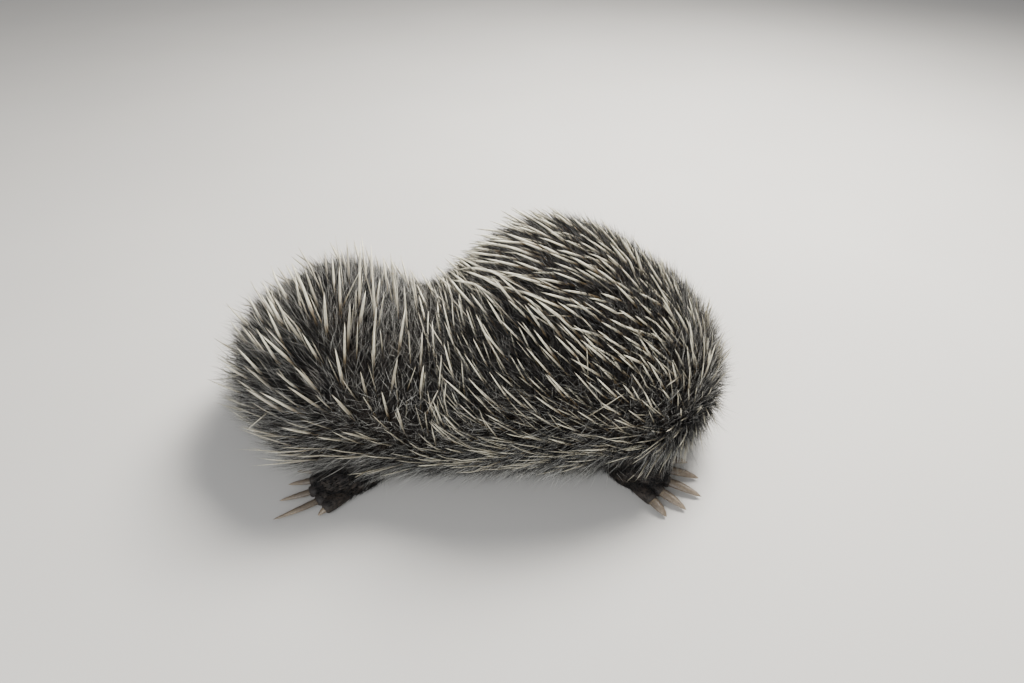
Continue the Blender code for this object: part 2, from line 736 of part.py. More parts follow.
def build_flesh():
    """Every solid without its spines, by name, each clear of its neighbours by the gap."""
    rump_span = (REAR_X, WAIST_X - GAP / 2)
    back_span = (WAIST_X + GAP / 2, FRONT_X)
    neck_span = (0.0, NECK_END - GAP / 2)
    head_span = (NECK_END + GAP / 2, BEAK_START - GAP / 2)
    beak_span = (BEAK_START + GAP / 2, BEAK_END)
    bases = {
        "rump": add_object("rump", trunk_mesh(*rump_span), "spine"),
        "back": add_object("back", trunk_mesh(*back_span), "spine"),
        "neck": add_object("neck", head_mesh(*neck_span, NECK_RING_SPACING, HEAD_SIDES), "spine"),
        "head": add_object("head", head_mesh(*head_span, HEAD_RING_SPACING, HEAD_SIDES), "skin"),
        "beak": add_object("beak", head_mesh(*beak_span, BEAK_RING_SPACING, BEAK_SIDES), "beak"),
        "tail": add_object("tail", tail_mesh(), "spine"),
    }
    for name in LIMBS:
        bases.update(limb(name))
    below = -0.02
    for name in ("neck", "tail", *LIMBS):
        cutters = [trunk_mesh(*span, GAP * 1.5, below) for span in (rump_span, back_span)]
        combine(bases[name], cutters, "DIFFERENCE")
    for name, (centre, outward) in zip(("left_eye", "right_eye"), eye_places()):
        combine(bases["head"], [lid_mesh(centre, outward)], "UNION")
        combine(bases["head"], [ball(centre, EYE_RADIUS + GAP)], "DIFFERENCE")
        bases[name] = add_object(name, ball(centre, EYE_RADIUS, 12), "eye")
    for name, side in (("left_ear", 1), ("right_ear", -1)):
        bases[name] = add_object(name, ear_mesh(side), "skin")
        cutter = head_mesh(*head_span, HEAD_RING_SPACING, HEAD_SIDES, GAP * 1.1, below)
        combine(bases[name], [cutter], "DIFFERENCE")
    combine(bases["beak"], beak_cutters(), "DIFFERENCE")
    return bases


def main():
    for obj in list(bpy.data.objects):
        bpy.data.objects.remove(obj)
    bases = build_flesh()
    rng = random.Random(SEED)
    coat = Coat(bases)
    grow_trunk_spines(coat, rng)
    grow_head_spines(coat, rng)
    grow_tail_spines(coat, rng)
    for name, meshes in coat.meshes.items():
        combine(bases[name], meshes, "UNION", "MANIFOLD")
    for obj in bases.values():
        obj.data.shade_smooth()
        obj.data.set_sharp_from_angle(angle=math.radians(SHARP_ANGLE))


if __name__ == "__main__":
    main()
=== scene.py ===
"""The looks of a short-beaked echidna: skin, fur, spines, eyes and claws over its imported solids.

The animal lies on its belly along X, with its shoulders at +X and its right flank at -Y. All sizes
are in metres.
"""

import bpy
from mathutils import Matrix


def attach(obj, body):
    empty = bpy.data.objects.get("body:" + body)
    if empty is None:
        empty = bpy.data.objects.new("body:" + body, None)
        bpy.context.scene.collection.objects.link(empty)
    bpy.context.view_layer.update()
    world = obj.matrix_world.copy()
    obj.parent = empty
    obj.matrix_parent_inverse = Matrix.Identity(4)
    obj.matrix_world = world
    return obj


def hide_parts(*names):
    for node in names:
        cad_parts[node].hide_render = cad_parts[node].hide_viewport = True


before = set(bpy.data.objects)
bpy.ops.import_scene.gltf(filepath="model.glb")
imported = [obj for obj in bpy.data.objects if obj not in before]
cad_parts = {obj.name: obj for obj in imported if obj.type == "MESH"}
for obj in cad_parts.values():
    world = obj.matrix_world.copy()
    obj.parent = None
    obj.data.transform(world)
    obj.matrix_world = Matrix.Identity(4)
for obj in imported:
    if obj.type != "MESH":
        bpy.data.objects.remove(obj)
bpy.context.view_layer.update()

import copy
import math

import bpy
import numpy as np
from bpy.props import FloatProperty, FloatVectorProperty, IntProperty, PointerProperty
from mathutils import Vector
from mathutils.bvhtree import BVHTree
from mathutils.kdtree import KDTree

bl_info = {
    "name": "Echidna",
    "version": (1, 0, 0),
    "blender": (4, 5, 0),
    "location": "3D View > Sidebar > Echidna",
    "description": "Dresses the solids of an echidna with skin, fur, spines, eyes and claws",
    "category": "Add Mesh",
}

SEED = 23

# The trunk at the skin, as in the solids
REAR_X = -0.159
WAIST_X = -0.036
FRONT_X = 0.164
RUMP_HEIGHT = 0.112
WAIST_HEIGHT = 0.099
BACK_HEIGHT = 0.141
SHOULDER_HEIGHT = 0.127
RUMP_HALF_WIDTH = 0.071
WAIST_HALF_WIDTH = 0.062
BACK_HALF_WIDTH = 0.083
FLOOR_SINK = 0.020
REAR_ROUNDING = 0.064
FRONT_ROUNDING = 0.096
END_FULLNESS = 2.5
TRUNK_KNOTS = (REAR_X, -0.100, WAIST_X, 0.045, 0.100, FRONT_X)
TRUNK_VALUES = (
    (0.006, RUMP_HEIGHT * 0.42, RUMP_HALF_WIDTH * 0.92),
    (-0.008, (RUMP_HEIGHT + FLOOR_SINK) / 2, RUMP_HALF_WIDTH),
    (-0.014, (WAIST_HEIGHT + FLOOR_SINK) / 2, WAIST_HALF_WIDTH),
    (0.000, (BACK_HEIGHT + FLOOR_SINK) / 2, BACK_HALF_WIDTH),
    (0.001, (SHOULDER_HEIGHT + FLOOR_SINK) / 2, BACK_HALF_WIDTH * 0.98),
    (-0.002, BACK_HEIGHT * 0.34, BACK_HALF_WIDTH * 0.86),
)

# The neck, head and beak: distance along, the middle's place, half width and half height
NECK_END = 0.066
FACE_END = 0.119
BEAK_END = 0.175
TIP_ROUNDING = 0.006
HEAD_KNOTS = (0.0, 0.036, 0.064, 0.084, 0.102, 0.118, 0.142, 0.164, BEAK_END)
HEAD_VALUES = (
    (0.0840, 0.026, 0.0500, 0.0560, 0.0520),
    (0.1050, 0.058, 0.0450, 0.0470, 0.0440),
    (0.1155, 0.084, 0.0400, 0.0370, 0.0350),
    (0.1170, 0.104, 0.0360, 0.0310, 0.0295),
    (0.1140, 0.121, 0.0310, 0.0240, 0.0225),
    (0.1095, 0.135, 0.0255, 0.0150, 0.0155),
    (0.1000, 0.157, 0.0165, 0.0086, 0.0088),
    (0.0915, 0.177, 0.0085, 0.0060, 0.0062),
    (0.0870, 0.187, 0.0058, 0.0052, 0.0050),
)
EYE_RADIUS = 0.0042
EYE_ALONG = 0.1035
EYE_ANGLE = 62
EYE_DEPTH = 0.5
EAR_ALONG = 0.080
EAR_ANGLE = 88
EAR_HEIGHT = 0.021
EAR_WIDTH = 0.011

# The tail
TAIL_ROOT = Vector((-0.138, 0.026, 0.024))
TAIL_WAY = Vector((-0.72, 0.68, -0.12)).normalized()
TAIL_LENGTH = 0.046
TAIL_RADIUS = 0.0145

# Each limb: where it leaves the trunk, the middle of its foot, the way its toes point, and
# whether it is a hind limb
LIMBS = {
    "right_foreleg": ((0.094, -0.042, 0.034), (0.108, -0.066, 0.0), (0.90, -0.43, 0.0), False),
    "left_foreleg": ((0.036, 0.050, 0.038), (0.030, 0.084, 0.0), (0.12, 0.99, 0.0), False),
    "right_hindleg": ((-0.072, -0.044, 0.032), (-0.084, -0.0735, 0.0), (-0.91, -0.41, 0.0), True),
    "left_hindleg": ((-0.090, 0.040, 0.034), (-0.098, 0.074, 0.0), (-0.62, 0.78, 0.0), True),
}
FORE_LEG_RADII = (0.025, 0.0215, 0.0170, 0.0125)
HIND_LEG_RADII = (0.027, 0.0230, 0.0175, 0.0120)
FORE_FOOT = (0.018, 0.0165, 0.0125)
HIND_FOOT = (0.021, 0.0140, 0.0118)
ANKLE_SETBACK = 0.005
ANKLE_HEIGHT = 0.0065
TOE_RADIUS = 0.0042
TOE_SPREAD_FORE = 0.24
TOE_SPREAD_HIND = 0.20
FORE_CLAW_LENGTHS = (0.014, 0.020, 0.023, 0.020, 0.013)
HIND_CLAW_LENGTHS = (0.006, 0.030, 0.021, 0.016, 0.012)
CLAW_DROP = 0.6

FLESH_NODES = (
    "rump", "back", "neck", "head", "beak", "tail", "left_ear", "right_ear", *LIMBS,
)  # fmt: skip

# The way the coat points on the trunk, in degrees from the tail's way towards the far side, at places
# along the trunk (columns) and at angles round it (rows) that are 0 on top and 90 on the right flank
COAT_X = (-0.155, -0.120, -0.080, -0.055, -0.040, -0.030, -0.021, -0.012, 0.0, 0.030, 0.060, 0.090, 0.120, 0.155)
COAT_TURNS = (-110, -75, -45, -20, 0, 30, 45, 60, 75, 90, 110)
COAT_HEADINGS = (
    (-50, -55, -60, -62, -62, -60, -58, -54, -48, -42, -38, -36, -36, -38),
    (-10, -14, -20, -26, -28, -28, -28, -27, -26, -24, -22, -20, -18, -16),
    (24, 32, 30, 20, 22, 28, 31, 29, 21, 4, -5, -2, 4, 10),
    (62, 76, 52, 42, 56, 68, 72, 68, 51, 1, -17, -13, -5, 6),
    (70, 88, 70, 57, 68, 74, 74, 70, 53, -5, -23, -22, -14, 3),
    (50, 82, 82, 82, 88, 86, 80, 76, 71, 26, -4, -8, -8, 8),
    (34, 66, 86, 90, 95, 94, 88, 82, 78, 63, 28, 9, 5, 12),
    (16, 46, 76, 90, 99, 100, 94, 84, 71, 64, 50, 32, 24, 24),
    (10, 32, 58, 80, 99, 105, 100, 84, 64, 53, 51, 46, 44, 46),
    (10, 24, 40, 60, 80, 90, 90, 80, 62, 50, 46, 44, 42, 40),
    (12, 14, 18, 28, 40, 50, 54, 52, 46, 44, 42, 40, 26, 16),
)

# The unwrap of the skin's own shape: each part's tile, as its lowest corner and its size
TILES = {
    "trunk": ((0.01, 0.01), (0.98, 0.54)),
    "head": ((0.01, 0.57), (0.48, 0.20)),
    "tail": ((0.01, 0.79), (0.20, 0.10)),
    "right_foreleg": ((0.51, 0.57), (0.23, 0.10)),
    "left_foreleg": ((0.76, 0.57), (0.23, 0.10)),
    "right_hindleg": ((0.51, 0.69), (0.23, 0.10)),
    "left_hindleg": ((0.76, 0.69), (0.23, 0.10)),
}
PATCH = 0.003


class EchidnaCoatSettings(bpy.types.PropertyGroup):
    """Sizes and counts of the coat."""

    spine_length: FloatProperty(
        name="Spine length", description="Length of a spine on the back, from the skin",
        default=0.0305, min=0.005, unit="LENGTH",
    )  # fmt: skip
    spine_radius: FloatProperty(
        name="Spine radius", description="Radius of a spine on the back where it is widest",
        default=0.00091, min=0.0002, unit="LENGTH",
    )  # fmt: skip
    spine_spacing: FloatProperty(
        name="Spine spacing", description="Least distance between two spines on the back",
        default=0.0072, min=0.002, unit="LENGTH",
    )  # fmt: skip
    bristle_length: FloatProperty(
        name="Bristle length", description="Length of a thin spine between the stout ones",
        default=0.027, min=0.005, unit="LENGTH",
    )  # fmt: skip
    bristle_radius: FloatProperty(
        name="Bristle radius", description="Radius of a thin spine where it is widest",
        default=0.00048, min=0.0001, unit="LENGTH",
    )  # fmt: skip
    bristle_spacing: FloatProperty(
        name="Bristle spacing", description="Least distance between two thin spines",
        default=0.0074, min=0.001, unit="LENGTH",
    )  # fmt: skip
    fur_length: FloatProperty(
        name="Fur length", description="Length of the fur between the spines",
        default=0.016, min=0.002, unit="LENGTH",
    )  # fmt: skip
    fur_width: FloatProperty(
        name="Fur width", description="Width of one tuft of fur",
        default=0.00055, min=0.0001, unit="LENGTH",
    )  # fmt: skip
    trunk_tufts: IntProperty(
        name="Trunk tufts", description="Number of tufts of dark fur on the trunk", default=56000, min=100
    )
    trunk_hairs: IntProperty(
        name="Trunk hairs", description="Number of fine pale hairs on the trunk", default=40000, min=100
    )
    head_tufts: IntProperty(
        name="Head tufts", description="Number of tufts drawn over the neck, head and beak",
        default=34000, min=100,
    )  # fmt: skip
    limb_tufts: IntProperty(
        name="Limb tufts", description="Number of tufts drawn over each leg and foot", default=9000, min=100
    )
    tail_tufts: IntProperty(
        name="Tail tufts", description="Number of tufts of fur on the tail", default=2200, min=100
    )


class EchidnaColourSettings(bpy.types.PropertyGroup):
    """Colours of the finishes."""

    spine: FloatVectorProperty(
        name="Spine", description="Horn of the spines, in their middle",
        default=(0.94, 0.87, 0.68), subtype="COLOR", min=0, max=1,
    )  # fmt: skip
    spine_root: FloatVectorProperty(
        name="Spine root", description="Horn of the spines, near the skin",
        default=(0.30, 0.21, 0.11), subtype="COLOR", min=0, max=1,
    )  # fmt: skip
    fur: FloatVectorProperty(
        name="Fur", description="Dark fur between the spines",
        default=(0.0048, 0.0044, 0.0045), subtype="COLOR", min=0, max=1,
    )  # fmt: skip
    pale_hair: FloatVectorProperty(
        name="Pale hair", description="Fine pale hairs in the fur",
        default=(0.19, 0.185, 0.17), subtype="COLOR", min=0, max=1,
    )  # fmt: skip
    skin: FloatVectorProperty(
        name="Skin", description="Skin under the fur",
        default=(0.030, 0.023, 0.019), subtype="COLOR", min=0, max=1,
    )  # fmt: skip
    beak: FloatVectorProperty(
        name="Beak", description="Bare skin of the beak",
        default=(0.0135, 0.0120, 0.0125), subtype="COLOR", min=0, max=1,
    )  # fmt: skip
    claw: FloatVectorProperty(
        name="Claw", description="Horn of the claws",
        default=(0.135, 0.105, 0.075), subtype="COLOR", min=0, max=1,
    )  # fmt: skip
    eye: FloatVectorProperty(
        name="Eye", description="The dark eyes", default=(0.006, 0.005, 0.005), subtype="COLOR", min=0, max=1
    )
    dust: FloatVectorProperty(
        name="Dust", description="Sandy dust on the coat",
        default=(0.42, 0.33, 0.21), subtype="COLOR", min=0, max=1,
    )  # fmt: skip
    floor: FloatVectorProperty(
        name="Floor", description="The plain floor", default=(0.58, 0.56, 0.53), subtype="COLOR", min=0, max=1
    )


# Numbers and vectors


def smooth_values(knots, values, at):
    """Rows of values that pass smoothly through those given at the knots."""
    knots = np.asarray(knots, float)
    values = np.asarray(values, float)
    if values.ndim == 1:
        values = values[:, None]
    slopes = np.gradient(values, knots, axis=0)
    at = np.clip(np.atleast_1d(at), knots[0], knots[-1])
    i = np.clip(np.searchsorted(knots, at, side="right") - 1, 0, len(knots) - 2)
    span = (knots[i + 1] - knots[i])[:, None]
    t = (at - knots[i])[:, None] / span
    start = (2 * t**3 - 3 * t**2 + 1) * values[i] + (t**3 - 2 * t**2 + t) * span * slopes[i]
    end = (3 * t**2 - 2 * t**3) * values[i + 1] + (t**3 - t**2) * span * slopes[i + 1]
    return start + end


def rise(value, low, high):
    """0 below low, 1 above high, and smooth between them."""
    t = np.clip((value - low) / (high - low), 0, 1)
    return t * t * (3 - 2 * t)


def swell(value, middle, spread):
    """1 at the middle, falling off to 0 on both sides."""
    return np.exp(-(((value - middle) / spread) ** 2))


def unit(v):
    """Each row of an array of vectors, at length 1."""
    return v / np.maximum(np.linalg.norm(v, axis=-1, keepdims=True), 1e-12)


def along_surface(v, normals):
    """The share of each vector that lies in the surface, at length 1."""
    return unit(v - normals * np.sum(v * normals, axis=1, keepdims=True))


def rows(*columns):
    """Columns of numbers as rows, with single numbers repeated."""
    return np.stack(np.broadcast_arrays(*columns), axis=1).astype(float)


# Shapes of the body, each a function of the share along it and the angle round it


def trunk_section(x):
    """Across, up, half height and half width of the trunk's section at x."""
    across, half_height, half_width = smooth_values(TRUNK_KNOTS, TRUNK_VALUES, x).T
    rear = np.clip((x - REAR_X) / REAR_ROUNDING, 0, 1)
    front = np.clip((FRONT_X - x) / FRONT_ROUNDING, 0, 1)
    rounding = ((1 - (1 - rear) ** END_FULLNESS) * (1 - (1 - front) ** END_FULLNESS)) ** (1 / END_FULLNESS)
    middle = half_height - FLOOR_SINK * np.minimum(np.minimum(rear, front) * 2, 1)
    return across, middle, half_height * rounding, half_width * rounding


def trunk_place(along, angle, depth=0.0012):
    """Points of the trunk's skin, which lies a little inside the solids. The angle is 0 on top."""
    x = REAR_X + (FRONT_X - REAR_X) * (1 - np.cos(np.pi * along)) / 2
    across, middle, half_height, half_width = trunk_section(x)
    shrink = 1 - depth / BACK_HALF_WIDTH
    side = np.sign(np.sin(angle)) * np.abs(np.sin(angle)) ** 0.92
    up = np.sign(np.cos(angle)) * np.abs(np.cos(angle)) ** 0.96
    z = middle + half_height * shrink * up
    return rows(x * shrink, across + half_width * shrink * side, np.maximum(z, 0.0003))


def head_frame(s):
    """Centre, forward, left and up directions, half width and half height of the head at s."""
    step = 0.002
    s = np.atleast_1d(s)
    values = smooth_values(HEAD_KNOTS, HEAD_VALUES, s)
    ahead = smooth_values(HEAD_KNOTS, HEAD_VALUES, s + step)
    behind = smooth_values(HEAD_KNOTS, HEAD_VALUES, s - step)
    forward = unit(ahead[:, :3] - behind[:, :3])
    left = unit(np.cross((0, 0, 1), forward))
    up = np.cross(forward, left)
    shut = np.clip((BEAK_END - s) / TIP_ROUNDING, 0, 1)
    rounding = np.sqrt(1 - (1 - shut) ** 2)
    return values[:, :3], forward, left, up, values[:, 3] * rounding, values[:, 4] * rounding


def head_point(s, angle):
    """Points of the head's plain form. The angle is 0 on top and positive on the animal's left."""
    centre, _, left, up, half_width, half_height = head_frame(s)
    side = left * (half_width * np.sin(angle))[:, None]
    return centre + side + up * (half_height * np.cos(angle))[:, None]


def eye_places():
    """Centre of each eye and the way it looks, the left one first."""
    places = []
    for side in (1, -1):
        _, forward, left, up, _, _ = (v[0] for v in head_frame(EYE_ALONG))
        surface = head_point(EYE_ALONG, np.array([side * math.radians(EYE_ANGLE)]))[0]
        outward = unit(left * side * 0.80 + up * 0.42 + forward * 0.42)
        places.append((surface - outward * EYE_RADIUS * EYE_DEPTH, outward))
    return places


def lids(points, centre, outward):
    """Moves the points near an eye, so that the skin opens round the eyeball between two lids."""
    side = unit(np.cross(outward, (0, 0, 1)))
    up = np.cross(side, outward)
    away = points - centre
    height = away @ outward
    across = away @ side
    upward = away @ up
    radius = np.hypot(across, upward)
    slant = upward + 0.12 * across
    opening = np.hypot(across, slant / np.where(slant > 0, 0.86, 0.72))
    ball = np.sqrt(np.maximum(EYE_RADIUS**2 - radius**2, 0))
    brim = 0.0010 * (1 - rise(opening, 0.0034, 0.0064))
    folds = 0.00030 * swell(opening, 0.0071, 0.0006) - 0.00035 * swell(opening, 0.0061, 0.0005)
    shell = np.maximum(height + brim + folds, np.where(radius < EYE_RADIUS, ball + 0.00065, -1))
    cover = rise(opening, 0.00300, 0.00335)
    lowered = (ball - 0.0012) * (1 - cover) + shell * cover
    near = (radius < 0.011) & (height > -0.004)
    shift = np.where(near, lowered - height, 0)
    return points + outward * shift[:, None]


def ears(s, angle, half_width, points, normals):
    """Raises the rim of each ear and sinks the slit in front of it."""
    ahead = s - EAR_ALONG
    down = (np.abs(angle) - math.radians(EAR_ANGLE)) * half_width
    reach = np.hypot(ahead / (EAR_WIDTH / 2), down / (EAR_HEIGHT / 2))
    from_rim = (reach - 1) * EAR_WIDTH / 2
    shut_behind = 1 - rise(ahead, 0.0010, 0.0042)
    rim = 0.0030 * swell(from_rim, 0, 0.0015) * shut_behind
    trough = 0.0036 * (1 - rise(reach, 0.15, 0.85)) * (1 - 0.3 * rise(ahead, 0, EAR_WIDTH / 2))
    return points + normals * (rim - trough)[:, None]


def beak_details(s, angle, half_width, half_height, points, normals):
    """The line of the mouth, the lips, the two nostrils and the shallow furrow between them."""
    side = half_width * np.abs(np.sin(angle))
    up = half_height * np.cos(angle)
    before_tip = BEAK_END - s
    mouth = swell(up, -0.0012, 0.00042) * (1 - rise(before_tip, 0.0085, 0.0115))
    lips = swell(np.abs(up + 0.0012), 0.0011, 0.0006) * (1 - rise(before_tip, 0.0085, 0.0125))
    nostril = np.hypot((before_tip - 0.0068) / 0.00155, (side - 0.0021) / 0.00085)
    hole = (1 - rise(nostril, 0.35, 1.05)) * (up > 0)
    brim = swell(nostril, 1.45, 0.35) * (up > 0)
    furrow = swell(side, 0, 0.0006) * (up > 0) * (1 - rise(before_tip, 0.004, 0.014))
    height = 0.00030 * lips - 0.00080 * mouth - 0.0013 * hole + 0.00022 * brim - 0.00015 * furrow
    height = height * rise(before_tip, 0.0002, 0.0014)
    return points + normals * height[:, None]


HEAD_SHARES = (0.0, 0.10, 0.28, 0.56, 0.76, 1.0)
HEAD_STOPS = (0.0, 0.060, 0.094, 0.1125, 0.160, BEAK_END)
TURN_SHARES = (0.0, 0.15, 0.50, 0.68, 1.0)
TURN_STOPS = (0.0, 46.0, 76.0, 108.0, 180.0)


def head_param(along, angle):
    """Distance along the head and angle round it, drawn together at the eyes and at the beak's tip."""
    s = np.interp(along, HEAD_SHARES, HEAD_STOPS)
    last = np.clip((along - HEAD_SHARES[-2]) / (1 - HEAD_SHARES[-2]), 0, 1)
    tip = HEAD_STOPS[-2] + (BEAK_END - HEAD_STOPS[-2]) * np.sin(last * np.pi / 2)
    s = np.where(along > HEAD_SHARES[-2], tip, s)
    turn = np.interp(np.abs(angle) / np.pi, TURN_SHARES, TURN_STOPS)
    return s, np.sign(angle) * np.radians(turn)


def head_place(along, angle, depth=0.0004):
    """Points of the neck, head and beak, with the ears, lids, nostrils and mouth."""
    s, turn = head_param(along, angle)
    centre, _, left, up, half_width, half_height = head_frame(s)
    start = np.sqrt(np.clip(s / 0.012, 0, 1) * (2 - np.clip(s / 0.012, 0, 1)))
    half_width = np.maximum(half_width - depth * rise(half_width, 0.001, 0.006), 0) * start
    half_height = np.maximum(half_height - depth * rise(half_height, 0.001, 0.006), 0) * start
    ring = left * (half_width * np.sin(turn))[:, None] + up * (half_height * np.cos(turn))[:, None]
    points = centre + ring
    normals = unit(ring + 1e-9)
    points = ears(s, turn, half_width, points, normals)
    points = beak_details(s, turn, half_width, half_height, points, normals)
    for side, (eye, outward) in zip((1, -1), eye_places()):
        mine = np.sign(turn) == side
        points[mine] = lids(points[mine], eye, outward)
    points[:, 2] = np.maximum(points[:, 2], 0.0003)
    return points


def tube_place(points, radii, flatten=1.0, blunt=0.5):
    """The shape of a round-ended tube through points with a radius at each."""
    points = np.array([tuple(p) for p in points])
    steps = np.linalg.norm(np.diff(points, axis=0), axis=1)
    stations = np.concatenate(([0], np.cumsum(steps)))
    length = stations[-1]
    first, last = radii[0] * blunt, radii[-1] * blunt
    knots = np.column_stack((points, radii))

    def place(along, angle):
        s = -first + (length + first + last) * (1 - np.cos(np.pi * along)) / 2
        inner = np.clip(s, 0, length)
        values = smooth_values(stations, knots, inner)
        ahead = smooth_values(stations, knots, np.clip(inner + 0.001, 0, length))
        behind = smooth_values(stations, knots, np.clip(inner - 0.001, 0, length))
        forward = unit(ahead[:, :3] - behind[:, :3])
        left = unit(np.cross((0, 0, 1), forward))
        up = np.cross(forward, left)
        past = s - inner
        over = np.abs(past) / np.where(past < 0, first, last)
        radius = values[:, 3] * np.sqrt(np.clip(1 - over**2, 0, 1))
        p = values[:, :3] + forward * past[:, None]
        p = p + left * (radius * np.sin(angle))[:, None] + up * (radius * flatten * np.cos(angle))[:, None]
        p[:, 2] = np.maximum(p[:, 2], 0.0003)
        return p

    return place


def tail_place(along, angle):
    """The short tail, which lies on the floor."""
    shares = np.array((0.0, 0.3, 0.55, 0.75, 0.9))
    radii = (TAIL_RADIUS - 0.0008) * np.sqrt(1 - (0.92 * shares) ** 2)
    points = [TAIL_ROOT + TAIL_WAY * TAIL_LENGTH * t for t in shares]
    for p, r in zip(points, radii):
        p.z = max(r * 0.9, p.z)
    return tube_place(points, radii, 0.9)(along, angle)


def limb_parts(name):
    """The shapes of a leg, its foot and its five toes, and the toes' ends with the ways they point."""
    hip, foot, way, hind = LIMBS[name]
    hip, foot, way = Vector(hip), Vector(foot), Vector(way).normalized()
    across = Vector((0, 0, 1)).cross(way).normalized()
    half_length, half_width, half_height = HIND_FOOT if hind else FORE_FOOT
    ankle = foot - way * ANKLE_SETBACK + Vector((0, 0, ANKLE_HEIGHT))
    bulge = Vector((0, 0, ANKLE_HEIGHT))
    leg = [hip, hip.lerp(ankle, 0.36) + bulge, hip.lerp(ankle, 0.72) + bulge, ankle]
    radii = np.array(HIND_LEG_RADII if hind else FORE_LEG_RADII) - 0.0008
    shares = (-0.8, -0.4, 0.0, 0.4, 0.8)
    sole = [foot + way * half_length * t + Vector((0, 0, half_height * 0.58)) for t in shares]
    foot_radii = [math.sqrt(1 - (0.9 * t) ** 2) * half_width for t in shares]
    places = {
        "leg": tube_place(leg, radii),
        "foot": tube_place(sole, foot_radii, half_height / half_width),
    }
    ends = []
    for k in range(-2, 3):
        spread = k * (TOE_SPREAD_HIND if hind else TOE_SPREAD_FORE)
        toe_way = (way * math.cos(spread) + across * math.sin(spread)).normalized()
        start = foot + across * k * half_width * 0.40 + way * half_length * 0.25
        start.z = TOE_RADIUS * 1.05
        end = start + toe_way * half_length * (1.05 - 0.10 * abs(k))
        knuckle = start.lerp(end, 0.62) + Vector((0, 0, 0.0006))
        toe_radii = [TOE_RADIUS * share for share in (1.0, 1.12, 0.96)]
        places[f"toe_{k + 3}"] = tube_place([start, knuckle, end], toe_radii, 0.95, 0.35)
        ends.append((end, toe_way))
    return places, ends


def claw_place(end, way, length, hind):
    """The shape of one claw: a blade with a ridge on top, flatter below, that dips to the floor."""
    across = Vector((0, 0, 1)).cross(way).normalized()
    curl = 0.16 if hind else 0.04
    shares = (0.0, 0.28, 0.56, 0.84, 1.0)
    widths = (0.66, 0.62, 0.48, 0.26, 0.0) if hind else (0.80, 0.88, 0.74, 0.44, 0.0)
    sunk = 0.0016

    def place(along, angle):
        t = (1 - np.cos(np.pi * along)) / 2
        width = np.interp(t, shares, widths) * TOE_RADIUS * 0.96
        width = width * np.sqrt(np.clip(t / 0.05, 0, 1)) * np.sqrt(np.clip((1 - t) / 0.06, 0, 1))
        reach = -sunk + (length + sunk) * t
        x = end.x + way.x * reach - across.x * curl * length * t * t
        y = end.y + way.y * reach - across.y * curl * length * t * t
        z = end.z * (1 - CLAW_DROP * t * t)
        ridge = np.where(np.cos(angle) > 0, 0.66 + 0.14 * swell(np.sin(angle), 0, 0.35), 0.42)
        sideways = width * np.sin(angle)
        z = z + width * ridge * np.cos(angle)
        return rows(x + across.x * sideways, y + across.y * sideways, np.maximum(z, 0.0003))

    return place


# Making and finishing pieces


def only(*pieces):
    """Selects these objects and nothing else, the first of them active."""
    bpy.ops.object.select_all(action="DESELECT")
    for piece in pieces:
        piece.select_set(True)
    bpy.context.view_layer.objects.active = pieces[0]


def points_of(piece):
    """The places of a mesh's points, as an array."""
    co = np.empty(len(piece.data.vertices) * 3, np.float32)
    piece.data.vertices.foreach_get("co", co)
    return co.reshape(-1, 3).astype(float)


def add_values(piece, name, values):
    """A number for each point of a mesh, which materials read by its name."""
    made = piece.data.attributes.new(name, "FLOAT", "POINT")
    made.data.foreach_set("value", np.asarray(values, np.float32))


def apply_modifier(piece, kind, **settings):
    """Adds one modifier to a piece and applies it."""
    only(piece)
    modifier = piece.modifiers.new(kind.lower(), kind)
    for name, value in settings.items():
        setattr(modifier, name, value)
    bpy.ops.object.modifier_apply(modifier=modifier.name)


def shaped_ball(name, sides, rings, place):
    """A ball whose poles become the ends of a shape and whose points are moved onto it."""
    bpy.ops.object.select_all(action="DESELECT")
    bpy.ops.mesh.primitive_uv_sphere_add(segments=sides, ring_count=rings, radius=1, calc_uvs=False)
    piece = bpy.context.object
    piece.name = piece.data.name = name
    co = points_of(piece)
    along = np.arccos(np.clip(-co[:, 2], -1, 1)) / np.pi
    angle = np.arctan2(co[:, 1], co[:, 0])
    moved = place(along, angle)
    piece.data.vertices.foreach_set("co", moved.astype(np.float32).ravel())
    add_values(piece, "along", along)
    bpy.ops.object.mode_set(mode="EDIT")
    bpy.ops.mesh.select_all(action="SELECT")
    bpy.ops.mesh.normals_make_consistent(inside=False)
    bpy.ops.object.mode_set(mode="OBJECT")
    return piece


def finish_piece(piece, material, slot, *replaced):
    """Gives a finished piece its material and body, and hides the nodes it stands for. The slot is not used."""
    if not piece.data.polygons:
        raise RuntimeError(f"{piece.name} came out empty")
    piece.data.materials.clear()
    piece.data.materials.append(material)
    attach(piece, "root")
    if replaced:
        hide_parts(*replaced)


# Materials


def new_material(name, roughness):
    """A material with its shader, and what adds nodes to it."""
    old = bpy.data.materials.get(name)
    if old:
        bpy.data.materials.remove(old)
    made = bpy.data.materials.new(name)
    made.use_nodes = True
    shader = made.node_tree.nodes["Principled BSDF"]
    shader.inputs["Roughness"].default_value = roughness
    return made, made.node_tree, shader


def add_node(tree, kind, **settings):
    """A node of one kind, with its settings, and its sockets' values by their names."""
    node = tree.nodes.new(kind)
    for name, value in settings.items():
        if hasattr(node, name):
            setattr(node, name, value)
        else:
            node.inputs[name.replace("_", " ")].default_value = value
    return node


def read_values(tree, name):
    """The output of a number kept on the mesh."""
    return add_node(tree, "ShaderNodeAttribute", attribute_name=name).outputs["Fac"]


